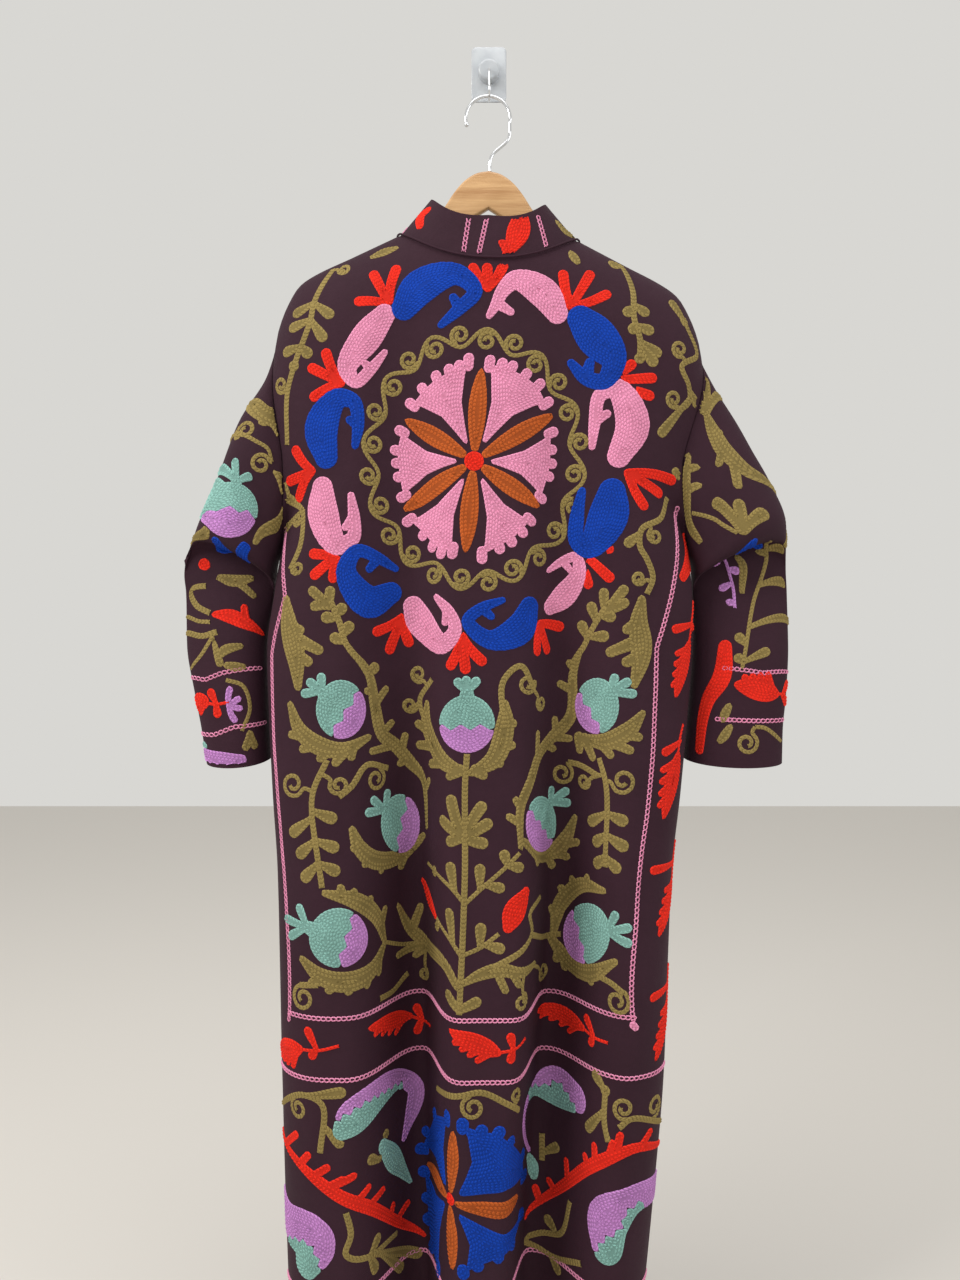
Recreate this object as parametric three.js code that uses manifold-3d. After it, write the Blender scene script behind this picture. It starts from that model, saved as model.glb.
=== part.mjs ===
// An embroidered open-front robe on its wooden hanger, hung from a stick-on wall hook and seen from the back.
// Millimetres, +Z up. The origin is the middle of the wall plate's back face: the wall is the plane y = 0,
// the robe's back faces -Y and its open front hangs beside the wall.
//
// Each piece of cloth is a wall worked out from a grid of outer points: rows run down the piece, columns run
// across it, and each point has a direction that leads through the cloth. Two pieces that are sewn together
// use the same seam points and directions, and stand half a seam gap back from them.
import * as THREE from "three";
import { mergeVertices } from "three/addons/utils/BufferGeometryUtils.js";
import Module from "manifold-3d";

// ---- sizes ----

const CLOTH = 2; // thickness of the embroidered cotton, with the backs of its stitches
const HALF_GAP = 0.15; // each sewn edge stands this far back from the seam
const SLEEVE_GAP = 0.4; // and a sleeve's top edge, where the body's edge is rounder, this far

const HANGER_Y = -40; // plane of the hanger and of the shoulder seams
const TILT = -0.03; // the hanger hangs a little askew, its left arm higher
const TILT_FADE = 0.1; // the share of the robe's length over which that fades

const NECK_HALF = 107; // half the neck's width at the shoulder seams
const NECK_CENTRE = -1;
const BACK_NECK_DROP = 42; // how far the back neck dips below its side points
const BACK_NECK_POWER = 2.2;
const FRONT_NECK_Z = -300;
const COLLAR_HEIGHT = 52;
const PIPING_RADIUS = 1.2;
const PIPING_SEAT = 2.2; // from the seam to the middle of the piping

const HEM_Z = -1514;
const OPENING_TOP = 27; // half the front opening at the neck
const OPENING_HEM = 44; // and at the hem

// The shoulder seam, from the neck out over the hanger's tip to the top of the sleeve.
const SHOULDER = [
  { out: 107, z: -222 },
  { out: 160, z: -248.5 },
  { out: 208, z: -272.5 },
  { out: 222, z: -283 },
  { out: 235, z: -304 },
  { out: 245, z: -330 },
  { out: 250, z: -357 },
];
const SHOULDER_OUT = SHOULDER.at(-1).out;
const ARMHOLE_DEPTH = 233;

// The body's middle and half width, down to the hem.
const BODY = [
  { z: -357, middle: -5, half: 252 },
  { z: -402, middle: -7, half: 243 },
  { z: -440, middle: -8, half: 236 },
  { z: -500, middle: -8, half: 230 },
  { z: -545, middle: -7, half: 232 },
  { z: -590, middle: -6, half: 238 },
  { z: -640, middle: -7, half: 244 },
  { z: -700, middle: -11, half: 248 },
  { z: -780, middle: -13, half: 244 },
  { z: -874, middle: -15, half: 237 },
  { z: -960, middle: -17, half: 229 },
  { z: -1060, middle: -18, half: 225 },
  { z: -1190, middle: -19, half: 221 },
  { z: -1330, middle: -23, half: 213 },
  { z: -1514, middle: -29, half: 200 },
];

// Where the armhole's back and front edges lie.
const ARMHOLE = [
  { z: -357, back: -40, front: -40 },
  { z: -362, back: -52, front: -31 },
  { z: -372, back: -62, front: -25 },
  { z: -394, back: -70, front: -22 },
  { z: -426, back: -75, front: -20 },
  { z: -500, back: -78, front: -20 },
  { z: -548, back: -73, front: -24 },
  { z: -590, back: -50, front: -50 },
];
const SIDE_SEAM = [
  { z: -590, y: -50 },
  { z: -700, y: -55 },
  { z: -1514, y: -58 },
];

// The back's fullness: how far it stands out from the hanger's plane, and how deep its two long folds run.
const FULLNESS = [
  { z: -222, out: 55, fold: 0 },
  { z: -300, out: 57, fold: 3 },
  { z: -450, out: 62, fold: 12 },
  { z: -600, out: 67, fold: 22 },
  { z: -800, out: 76, fold: 44 },
  { z: -1000, out: 89, fold: 74 },
  { z: -1110, out: 95, fold: 86 },
  { z: -1514, out: 98, fold: 88 },
];
// The middles of those folds, and how wide each is on its left and on its right.
const FOLDS = [
  { z: -300, left: -96, leftOuter: 40, leftInner: 34, right: 88, rightInner: 34, rightOuter: 40 },
  { z: -600, left: -93, leftOuter: 44, leftInner: 32, right: 84, rightInner: 30, rightOuter: 42 },
  { z: -900, left: -86, leftOuter: 46, leftInner: 26, right: 78, rightInner: 25, rightOuter: 46 },
  { z: -1110, left: -80, leftOuter: 46, leftInner: 24, right: 68, rightInner: 22, rightOuter: 50 },
  { z: -1300, left: -78, leftOuter: 46, leftInner: 24, right: 52, rightInner: 22, rightOuter: 56 },
  { z: -1514, left: -78, leftOuter: 46, leftInner: 24, right: 44, rightInner: 22, rightOuter: 58 },
];
const FOLD_POWER = 2.4;
const BACK_ROUNDING = 110; // the back reaches its fullness this far below the shoulder
const FRONT_ROUNDING = 30;
const FRONT_Y = -18; // the fronts hang nearly flat beside the wall
const FRONT_WAVE = 5; // depth of the fronts' soft folds
const SIDE_START = -530; // between these heights the armhole's flat edge turns into the side's round one
const SIDE_END = -630;

// Rows down the body, as drops below the top edge at the side. The armhole ends at row ARMPIT_ROW.
const DROPS = [
  0, 4, 14, 36, 68, 104, 146, 190, 233,
  290, 350, 415, 480, 545, 610, 680, 750, 820, 890, 960, 1030, 1095, 1157,
];
const ARMPIT_ROW = 8;
const SHOULDER_COLUMNS = 9;
const SHOULDER_SPREAD = 1.3; // the shoulder's columns stand closer towards the side
const NECK_COLUMNS = 16;
const FRONT_COLUMNS = 7; // from the neck's side point to the front edge
const FRONT_SPREAD = 1.6; // those columns stand closer at the neck's side point
const COLLAR_ROWS = 2;

// The sleeves, a row for each ring down the arm. The outer side, the body side and the back of the ring each
// have a height, and the back turns under itself at the elbow: out over the lip and in again below it.
const SLEEVE = [
  { outerZ: -357, innerZ: -590, backZ: -475, backY: -76, frontY: -21 },
  { outerZ: -384, innerZ: -595, backZ: -488, backY: -81, frontY: -19 },
  { outerZ: -412, innerZ: -600, backZ: -504, backY: -86, frontY: -18 },
  { outerZ: -440, innerZ: -605, backZ: -521, backY: -90, frontY: -17 },
  { outerZ: -470, innerZ: -610, backZ: -539, backY: -94, frontY: -16 },
  { outerZ: -503, innerZ: -615, backZ: -557, backY: -97, frontY: -15 },
  { outerZ: -535, innerZ: -620, backZ: -574, backY: -99, frontY: -14 },
  { outerZ: -562, innerZ: -625, backZ: -587, backY: -95, frontY: -14 },
  { outerZ: -585, innerZ: -630, backZ: -592, backY: -81, frontY: -14 },
  { outerZ: -604, innerZ: -636, backZ: -585, backY: -65, frontY: -14 },
  { outerZ: -622, innerZ: -643, backZ: -592, backY: -54, frontY: -14 },
  { outerZ: -648, innerZ: -658, backZ: -622, backY: -56, frontY: -14 },
  { outerZ: -682, innerZ: -688, backZ: -665, backY: -66, frontY: -13 },
  { outerZ: -720, innerZ: -723, backZ: -712, backY: -74, frontY: -13 },
  { outerZ: -760, innerZ: -762, backZ: -760, backY: -78, frontY: -12 },
  { outerZ: -800, innerZ: -799, backZ: -803, backY: -80, frontY: -12 },
  { outerZ: -838, innerZ: -835, backZ: -843, backY: -81, frontY: -12 },
];
// The sleeves' outer edges.
const SLEEVE_OUTER = [
  { z: -357, left: 257, right: 247 },
  { z: -390, left: 266, right: 262 },
  { z: -437, left: 292, right: 287 },
  { z: -470, left: 304, right: 304 },
  { z: -510, left: 318, right: 326 },
  { z: -560, left: 339, right: 346 },
  { z: -590, left: 350, right: 348 },
  { z: -620, left: 359, right: 349 },
  { z: -640, left: 357, right: 350 },
  { z: -704, left: 355, right: 351 },
  { z: -760, left: 345, right: 348 },
  { z: -800, left: 337, right: 344 },
  { z: -838, left: 331, right: 343 },
];
const SLEEVE_CLEAR = 4; // between a sleeve and the body's side
const SLEEVE_OUTER_Y = -52;
const SLEEVE_INNER_Y = [
  { z: -590, y: -50 },
  { z: -650, y: -44 },
  { z: -838, y: -38 },
];
const SLEEVE_ROUNDNESS = 0.8;
const ARMHOLE_FADE = 4; // rings over which the armhole's own shape passes into the sleeve's

// The hanger's right half, from the top of its dome round to the middle of its underside.
const HANGER_OUTLINE = [
  { out: 0, z: -139 },
  { out: 14, z: -142 },
  { out: 28, z: -151 },
  { out: 41, z: -166 },
  { out: 52, z: -183 },
  { out: 64, z: -198 },
  { out: 80, z: -211 },
  { out: 107, z: -226.2 },
  { out: 125, z: -234.3 },
  { out: 160, z: -251.4 },
  { out: 203, z: -273 },
  { out: 211, z: -279 },
  { out: 214, z: -288 },
  { out: 209, z: -297 },
  { out: 198, z: -299 },
  { out: 110, z: -254 },
];
const HANGER_APEX_Z = -184; // middle of the hanger's underside
const HANGER_THICKNESS = 9;
const HANGER_BEVEL = 3;

const HOOK_RADIUS = 2; // chrome wire, 4 mm across
const HOOK_LOOP = { x: -1.5, z: -75.5, radius: 26.5, from: -12, to: 196 };
const HOOK_STEM = [
  { x: 0.8, z: -138.7 },
  { x: 1.1, z: -126 },
  { x: 4, z: -118.5 },
  { x: 23, z: -99.5 },
];
const HOOK_STEPS = 44;
const HOOK_BALL = 2.9;

const PLATE_WIDTH = 43;
const PLATE_HEIGHT = 68;
const PLATE_THICKNESS = 2.5;
const PLATE_CORNER = 6;
const BOSS_RADIUS = 13;
const BOSS_DEPTH = 13;
const J_RADIUS = 1.5; // chrome wire, 3 mm across
const J_BEND = { y: -40.5, z: -43.5, radius: 9.5 };
const J_STEPS = 26;
const HOOK_SEAT = 0.5; // between the boss and the middle of the J hook's end

// How the body's outline and edges are rounded.
const OUTLINE_BLEND = 0.12; // share of the length over which the shoulder's outline passes into the body's
const FLAT_EDGE_POWER = 9; // beside the armholes, where the cloth stays flat almost to its edge
const ROUND_EDGE_POWER = 7; // beside the side seams, where it rounds over to meet the other layer
const ROUND_EDGE_SHAPE = 0.45;
const FRONT_WAVE_LENGTH = 24; // mm across for one radian of the fronts' soft waves
const FRONT_WAVE_START = 400; // below the shoulder, where the waves are full

// Directions through the cloth at the neck seam: how far they lean inwards and down at the neck's sides.
const NECK_LEAN = { inwards: 0.66, down: 0.75, backPower: 4, frontPower: 6, backFade: 0.5, frontFade: 0.35 };
// The same at the armholes, where they lean towards the neck at the top.
const ARMHOLE_LEAN = { inwards: 0.6, fade: 0.35, topPower: 12, upright: 0.98 };

// The stand collar's top: how far it leans in at the neck's sides, forwards behind the neck, and drops at the sides.
const COLLAR_LEAN = { inwards: 38, power: 1.6, forwards: 8, drop: 10 };

const ROD_SIDES = 8;
const PIPING_SIDES = 6;
const HOOK_LOOP_STEP = 16; // degrees
const J_BEND_TURN = { from: 190, to: 372, step: 14 };
const J_SHANK = [
  { back: 0, z: -2 },
  { back: 3, z: -2.6 },
  { back: 6, z: -7 },
];
const J_SHANK_END = { y: -27, z: -22 };
const BOSS_SIDES = 24;
const BOSS_RIM = [
  { out: 0, up: 0 },
  { out: 1, up: 0 },
  { out: 1, up: 0.7 },
  { out: 0.85, up: 0.93 },
  { out: 0.6, up: 1 },
  { out: 0, up: 1 },
];

const COLOURS = { cloth: 0x5a3f4a, piping: 0x4d3540, wood: 0xc99b66, chrome: 0xd4d6d8, plate: 0xc3c7cc };

// ---- reading the tables ----

// The value of one column of a table at a height, or at any other key, on a smooth curve through its rows
// that never swings past them.
function read(table, column, at, key = "z") {
  const rows = [...table].sort((a, b) => a[key] - b[key]);
  if (at <= rows[0][key]) return rows[0][column];
  const last = rows.length - 1;
  if (at >= rows[last][key]) return rows[last][column];
  let i = 0;
  while (rows[i + 1][key] < at) i += 1;
  const span = (n) => rows[n + 1][key] - rows[n][key];
  const slope = (n) => (rows[n + 1][column] - rows[n][column]) / span(n);
  const tangent = (n) => {
    if (n === 0) return slope(0);
    if (n === last) return slope(last - 1);
    const before = slope(n - 1);
    const after = slope(n);
    return before * after <= 0 ? 0 : (2 * before * after) / (before + after);
  };
  const t = (at - rows[i][key]) / span(i);
  const bend = t * t * (3 - 2 * t);
  const from = rows[i][column] + tangent(i) * span(i) * t * (1 - t) * (1 - t);
  const to = tangent(i + 1) * span(i) * t * t * (t - 1);
  return from + bend * (rows[i + 1][column] - rows[i][column]) + to;
}

const mix = (a, b, t) => a + (b - a) * t;
const clamp = (t) => Math.min(1, Math.max(0, t));
const smooth = (t) => clamp(t) ** 2 * (3 - 2 * clamp(t));
const vector = (x, y, z) => new THREE.Vector3(x, y, z);

// ---- the body ----

// The quarter-round by which cloth falls away from the shoulder.
const roundOff = (drop, over) => Math.sqrt(1 - (1 - clamp(drop / over)) ** 2);

// The shoulder line, carried on inwards over the neck.
function ridgeZ(x) {
  const out = Math.abs(x);
  const slope = (SHOULDER[0].z - SHOULDER[1].z) / (SHOULDER[1].out - SHOULDER[0].out);
  return out < SHOULDER[0].out ? SHOULDER[0].z + slope * (SHOULDER[0].out - out) : read(SHOULDER, "z", out, "out");
}

function foldDepth(x, z) {
  const depth = read(FULLNESS, "fold", z);
  const trough = (name) => {
    const off = x - read(FOLDS, name, z);
    const width = read(FOLDS, name + ((name === "left") === off < 0 ? "Outer" : "Inner"), z);
    return Math.exp(-(Math.abs(off / width) ** FOLD_POWER));
  };
  return depth * Math.max(trough("left"), trough("right"));
}

// A point of the back. `across` runs from -1 at the left side to 1 at the right.
function backPoint(across, drop) {
  const topX = NECK_CENTRE + across * SHOULDER_OUT;
  const topZ = backTopZ(topX);
  return bodyPoint(across, topX, topZ, drop, (x, z, below) => {
    const out = read(FULLNESS, "out", z) - foldDepth(x, z);
    return HANGER_Y - out * roundOff(below, BACK_ROUNDING);
  }, "back");
}

function backTopZ(x) {
  const out = Math.abs(x - NECK_CENTRE);
  if (out >= NECK_HALF) return ridgeZ(x - NECK_CENTRE);
  return SHOULDER[0].z - BACK_NECK_DROP * (1 - (out / NECK_HALF) ** BACK_NECK_POWER);
}

// A point of a front. `inwards` runs from 0 at the side seam, over 1 at the neck's side point, to 2 at the
// front edge, and `side` is -1 on the left.
function frontPoint(side, inwards, drop) {
  const neck = NECK_HALF / SHOULDER_OUT;
  const opening = mix(OPENING_TOP, OPENING_HEM, drop) / read(BODY, "half", mix(FRONT_NECK_Z, HEM_Z, drop));
  const across = inwards <= 1 ? acrossShoulder(inwards, neck) : mix(neck, opening, inwards - 1);
  const topOut = inwards <= 1 ? across * SHOULDER_OUT : mix(NECK_HALF, OPENING_TOP, inwards - 1);
  const topX = NECK_CENTRE + side * topOut;
  const topZ = inwards <= 1
    ? ridgeZ(topX - NECK_CENTRE)
    : mix(SHOULDER[0].z, FRONT_NECK_Z, Math.sin(((inwards - 1) * Math.PI) / 2));
  return bodyPoint(side * across, topX, topZ, drop, (x, z, below) => {
    const wave = FRONT_WAVE * Math.sin((x - NECK_CENTRE) / FRONT_WAVE_LENGTH + side) * smooth(below / FRONT_WAVE_START);
    return HANGER_Y + (FRONT_Y - HANGER_Y + wave) * roundOff(below, FRONT_ROUNDING);
  }, "front");
}

// Shares of the half width, from the side (0) to the neck's side point (1).
function acrossShoulder(inwards, neck) {
  return 1 - (1 - neck) * inwards ** SHOULDER_SPREAD;
}

// What the back and the fronts share: the outline, the edges and the tilt of the hanger.
function bodyPoint(across, topX, topZ, drop, fullY, layer) {
  const z = mix(topZ, HEM_Z, drop);
  const bodyX = read(BODY, "middle", z) + across * read(BODY, "half", z);
  const x = mix(topX, bodyX, smooth(drop / OUTLINE_BLEND));
  const side = smooth((SIDE_START - z) / (SIDE_START - SIDE_END));
  const flatEdge = 1 - Math.abs(across) ** FLAT_EDGE_POWER;
  const roundEdge = (1 - Math.min(1, Math.abs(across)) ** ROUND_EDGE_POWER) ** ROUND_EDGE_SHAPE;
  const inside = mix(flatEdge, roundEdge, side);
  const below = ridgeZ(topX - NECK_CENTRE) - z;
  const edgeZ = mix(SHOULDER.at(-1).z, HEM_Z, drop);
  const edgeY = edgeZ > SIDE_SEAM[0].z ? read(ARMHOLE, layer, edgeZ) : read(SIDE_SEAM, "y", edgeZ);
  const y = mix(edgeY, fullY(x, z, below), inside);
  return vector(x, y, z + TILT * x * Math.exp(-drop / TILT_FADE));
}

const shareOf = (row) => DROPS[row] / DROPS.at(-1);

// ---- directions through the cloth ----

// At the neck seam they lead to the middle of the neck.
function neckDirection(point, layer) {
  const from = (point.x - NECK_CENTRE) / NECK_HALF;
  const s = Math.min(1, Math.abs(from));
  const isBack = layer === "back";
  const y = isBack ? (1 - s) ** NECK_LEAN.backFade : -((1 - s) ** NECK_LEAN.frontFade);
  const side = s ** (isBack ? NECK_LEAN.backPower : NECK_LEAN.frontPower);
  return vector(-NECK_LEAN.inwards * from * side, y, -NECK_LEAN.down * side).normalize();
}

// At the armhole they lead to its middle, and at its top a little towards the neck.
function armholeDirection(row, layer, side) {
  const turn = (Math.PI * DROPS[row]) / ARMHOLE_DEPTH;
  const { inwards, fade, topPower, upright } = ARMHOLE_LEAN;
  const y = Math.sin(turn) ** fade * (layer === "back" ? 1 : -1);
  const top = Math.max(0, Math.cos(turn)) ** topPower;
  const z = -Math.sign(Math.cos(turn)) * Math.abs(Math.cos(turn)) ** topPower;
  return vector(-side * inwards * top, Math.abs(z) > upright ? 0 : y, z).normalize();
}

// Everywhere else they are square to the grid. `sign` picks the side.
function squareDirections(outer, isTube, sign) {
  const rows = outer.length;
  const columns = outer[0].length;
  return outer.map((line, row) => line.map((point, column) => {
    const before = isTube ? line[(column + columns - 1) % columns] : line[Math.max(0, column - 1)];
    const after = isTube ? line[(column + 1) % columns] : line[Math.min(columns - 1, column + 1)];
    const above = outer[Math.max(0, row - 1)][column];
    const under = outer[Math.min(rows - 1, row + 1)][column];
    const along = vector(0, 0, 0).subVectors(after, before);
    const down = vector(0, 0, 0).subVectors(under, above);
    return along.cross(down).normalize().multiplyScalar(sign);
  }));
}

// The same corners the other way round, from the same first corner.
const turnedLoop = ([a, b, c, d]) => [a, d, c, b];

// A closed wall of cloth on a grid of outer points. Each four-cornered face is cut along its shorter diagonal.
function clothWall(outer, inward, isTube) {
  const rows = outer.length;
  const columns = outer[0].length;
  const places = [];
  for (const depth of [0, CLOTH]) {
    outer.forEach((line, row) => line.forEach((point, column) => {
      places.push(...point.clone().addScaledVector(inward[row][column], depth).toArray());
    }));
  }
  const at = (layer, row, column) => (layer * rows + row) * columns + (column % columns);
  const faces = [];
  const quad = (a, b, c, d) => faces.push(a, b, c, a, c, d);
  const lastColumn = isTube ? columns : columns - 1;
  for (let row = 0; row < rows - 1; row += 1) {
    for (let column = 0; column < lastColumn; column += 1) {
      const right = (column + 1) % columns;
      const falling = outer[row][column].distanceTo(outer[row + 1][right]);
      const rising = outer[row][right].distanceTo(outer[row + 1][column]);
      for (const layer of [0, 1]) {
        const corners = [[row, column], [row, right], [row + 1, right], [row + 1, column]];
        const loop = corners.map(([r, c]) => at(layer, r, c));
        if (rising < falling) loop.push(loop.shift());
        quad(...(layer === 0 ? loop : turnedLoop(loop)));
      }
    }
  }
  for (let column = 0; column < lastColumn; column += 1) {
    quad(at(0, 0, column), at(1, 0, column), at(1, 0, column + 1), at(0, 0, column + 1));
    const hem = rows - 1;
    quad(at(0, hem, column), at(0, hem, column + 1), at(1, hem, column + 1), at(1, hem, column));
  }
  if (!isTube) {
    for (let row = 0; row < rows - 1; row += 1) {
      quad(at(0, row, 0), at(0, row + 1, 0), at(1, row + 1, 0), at(1, row, 0));
      quad(at(0, row, lastColumn), at(1, row, lastColumn), at(1, row + 1, lastColumn), at(0, row + 1, lastColumn));
    }
  }
  return outwardGeometry(places, faces);
}

// A geometry whose faces point out, whichever way round its faces were listed.
function outwardGeometry(places, faces) {
  const corner = (i) => vector(...places.slice(3 * faces[i], 3 * faces[i] + 3));
  let volume = 0;
  for (let i = 0; i < faces.length; i += 3) volume += corner(i).dot(corner(i + 1).cross(corner(i + 2)));
  const turned = volume < 0 ? faces.map((_, i) => faces[i % 3 === 1 ? i + 1 : i % 3 === 2 ? i - 1 : i]) : faces;
  const geometry = new THREE.BufferGeometry();
  geometry.setAttribute("position", new THREE.Float32BufferAttribute(places, 3));
  geometry.setIndex(turned);
  return geometry;
}

// ---- the pieces of cloth ----

// Shares of the half width for the back's columns, from -1 to 1.
function backColumns() {
  const neck = NECK_HALF / SHOULDER_OUT;
  const shares = [];
  for (let i = 0; i < SHOULDER_COLUMNS; i += 1) shares.push(-acrossShoulder(i / SHOULDER_COLUMNS, neck));
  for (let i = 0; i <= NECK_COLUMNS; i += 1) shares.push(mix(-neck, neck, i / NECK_COLUMNS));
  for (let i = SHOULDER_COLUMNS - 1; i >= 0; i -= 1) shares.push(acrossShoulder(i / SHOULDER_COLUMNS, neck));
  return shares;
}

// Sets the directions of a body piece's sewn edges, then draws those edges half a gap back.
function sewEdges(outer, inward, layer, sideAt, isShoulder) {
  const yBack = layer === "back" ? -HALF_GAP : HALF_GAP;
  outer[0].forEach((point, column) => {
    inward[0][column] = isShoulder(column) ? vector(0, 0, -1) : neckDirection(point, layer);
  });
  outer[0].forEach((point, column) => {
    const atNeckSide = isShoulder(column) && (isShoulder(column - 1) === false || isShoulder(column + 1) === false);
    if (atNeckSide) inward[0][column] = neckDirection(point, layer);
    if (isShoulder(column)) point.y += yBack;
    if (!isShoulder(column) || atNeckSide) point.z -= HALF_GAP;
  });
  for (const { column, side } of sideAt) {
    outer.forEach((line, row) => {
      const onArmhole = row <= ARMPIT_ROW;
      inward[row][column] = onArmhole ? armholeDirection(row, layer, side) : vector(-side, 0, 0);
      if (onArmhole) line[column].x -= side * HALF_GAP;
      if (row >= ARMPIT_ROW) line[column].y += yBack;
    });
  }
}

function back() {
  const shares = backColumns();
  const outer = DROPS.map((_, row) => shares.map((across) => backPoint(across, shareOf(row))));
  const inward = squareDirections(outer, false, 1);
  const last = shares.length - 1;
  const neckStart = SHOULDER_COLUMNS;
  const neckEnd = SHOULDER_COLUMNS + NECK_COLUMNS;
  const isShoulder = (column) => (column < 0 || column > last ? undefined : column <= neckStart || column >= neckEnd);
  sewEdges(outer, inward, "back", [{ column: 0, side: -1 }, { column: last, side: 1 }], isShoulder);
  return clothWall(outer, inward, false);
}

// The columns of a front, from its side seam to its front edge, as the steps of frontPoint.
function frontColumns() {
  const steps = [];
  for (let i = 0; i <= SHOULDER_COLUMNS; i += 1) steps.push(i / SHOULDER_COLUMNS);
  for (let i = 1; i <= FRONT_COLUMNS; i += 1) steps.push(1 + (i / FRONT_COLUMNS) ** FRONT_SPREAD);
  return steps;
}

function front(side) {
  const steps = frontColumns();
  const outer = DROPS.map((_, row) => steps.map((inwards) => frontPoint(side, inwards, shareOf(row))));
  const inward = squareDirections(outer, false, side);
  const isShoulder = (column) => (column < 0 || column >= steps.length ? undefined : column <= SHOULDER_COLUMNS);
  sewEdges(outer, inward, "front", [{ column: 0, side }], isShoulder);
  return clothWall(outer, inward, false);
}

// The points of one armhole, from the shoulder down its back edge and up its front edge.
function armhole(side) {
  const ring = [];
  for (let row = 0; row <= ARMPIT_ROW; row += 1) {
    ring.push({ point: backPoint(side, shareOf(row)), inward: armholeDirection(row, "back", side) });
  }
  for (let row = ARMPIT_ROW - 1; row > 0; row -= 1) {
    ring.push({ point: frontPoint(side, 0, shareOf(row)), inward: armholeDirection(row, "front", side) });
  }
  return ring;
}

// One ring of a sleeve as an oval between its outer side and its body side, with the back let out or turned in.
function sleeveRing(side, row, count) {
  const outerSide = read(SLEEVE_OUTER, side < 0 ? "left" : "right", row.outerZ);
  const bodySide = side * read(BODY, "middle", row.innerZ) + read(BODY, "half", row.innerZ) + SLEEVE_CLEAR;
  const innerY = read(SLEEVE_INNER_Y, "y", row.innerZ);
  const middleZ = (row.outerZ + row.innerZ) / 2;
  const ring = [];
  for (let i = 0; i < count; i += 1) {
    const turn = (2 * Math.PI * i) / count;
    const c = Math.cos(turn);
    const s = Math.sin(turn);
    const sideY = mix(innerY, SLEEVE_OUTER_Y, (1 + c) / 2);
    const faceY = s > 0 ? row.backY : row.frontY;
    ring.push(vector(
      side * mix(bodySide, outerSide, (1 + c) / 2),
      mix(sideY, faceY, Math.abs(s) ** SLEEVE_ROUNDNESS),
      middleZ + ((row.outerZ - row.innerZ) / 2) * c + Math.max(0, s) * (row.backZ - middleZ),
    ));
  }
  return ring;
}

function sleeve(side) {
  const seam = armhole(side);
  const first = sleeveRing(side, SLEEVE[0], seam.length);
  const outer = SLEEVE.map((row, step) => {
    const keep = 1 - smooth(step / ARMHOLE_FADE);
    return sleeveRing(side, row, seam.length).map((point, i) => (
      point.addScaledVector(vector(0, 0, 0).subVectors(seam[i].point, first[i]), keep)
    ));
  });
  const inward = squareDirections(outer, true, -side);
  inward[0] = seam.map(({ inward: direction }) => direction);
  outer[0].forEach((point) => {
    point.x += side * SLEEVE_GAP;
  });
  return clothWall(outer, inward, true);
}

// The neck seam from the left front edge, round the back, to the right front edge.
function neckSeam() {
  const seam = [];
  const steps = frontColumns().filter((inwards) => inwards > 1);
  const add = (point, layer) => seam.push({ point, inward: neckDirection(point, layer) });
  [...steps].reverse().forEach((inwards) => add(frontPoint(-1, inwards, 0), "front"));
  backColumns()
    .slice(SHOULDER_COLUMNS, SHOULDER_COLUMNS + NECK_COLUMNS + 1)
    .forEach((across) => add(backPoint(across, 0), "back"));
  steps.forEach((inwards) => add(frontPoint(1, inwards, 0), "front"));
  return seam;
}

// The stand collar leans in over the neck, most of all at its sides.
function collarTop(point) {
  const from = (point.x - NECK_CENTRE) / NECK_HALF;
  const s = Math.min(1, Math.abs(from));
  const isBack = point.y < HANGER_Y - 0.01;
  const lean = -Math.sign(from) * COLLAR_LEAN.inwards * s ** COLLAR_LEAN.power;
  const towards = isBack ? COLLAR_LEAN.forwards * (1 - s) : 0;
  return vector(point.x + lean, point.y + towards, point.z + COLLAR_HEIGHT - COLLAR_LEAN.drop * s);
}

function collar() {
  const seam = neckSeam();
  const outer = [];
  for (let row = 0; row <= COLLAR_ROWS; row += 1) {
    outer.push(seam.map(({ point }) => point.clone().lerp(collarTop(point), 1 - row / COLLAR_ROWS)));
  }
  const inward = squareDirections(outer, false, 1);
  inward[COLLAR_ROWS] = seam.map(({ inward: direction }) => direction);
  outer[COLLAR_ROWS].forEach((point) => {
    point.z += HALF_GAP;
  });
  return clothWall(outer, inward, false);
}

// A round rod of the given radius along a smooth curve.
function rod(points, radius, steps, sides) {
  const section = new THREE.Shape();
  for (let i = 0; i < sides; i += 1) {
    const turn = (2 * Math.PI * i) / sides;
    const spot = [radius * Math.cos(turn), radius * Math.sin(turn)];
    if (i === 0) section.moveTo(...spot);
    else section.lineTo(...spot);
  }
  section.closePath();
  const curve = new THREE.CatmullRomCurve3(points, false, "centripetal");
  return new THREE.ExtrudeGeometry(section, { steps, bevelEnabled: false, extrudePath: curve });
}

function neckPiping() {
  const path = neckSeam().map(({ point, inward }) => point.clone().addScaledVector(inward, -PIPING_SEAT));
  return rod(path, PIPING_RADIUS, path.length * 2, PIPING_SIDES);
}

// ---- the hanger and the wall hook ----

// A flat outline in x and z, made thick along y and centred on the plane y = middle.
function plate(shape, thickness, middle, bevel) {
  const depth = thickness - 2 * bevel;
  const geometry = new THREE.ExtrudeGeometry(shape, {
    depth, bevelEnabled: bevel > 0, bevelThickness: bevel, bevelSize: bevel, bevelOffset: -bevel, bevelSegments: 2,
    curveSegments: 6,
  });
  geometry.rotateX(Math.PI / 2);
  geometry.translate(0, middle + depth / 2, 0);
  return geometry;
}

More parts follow.
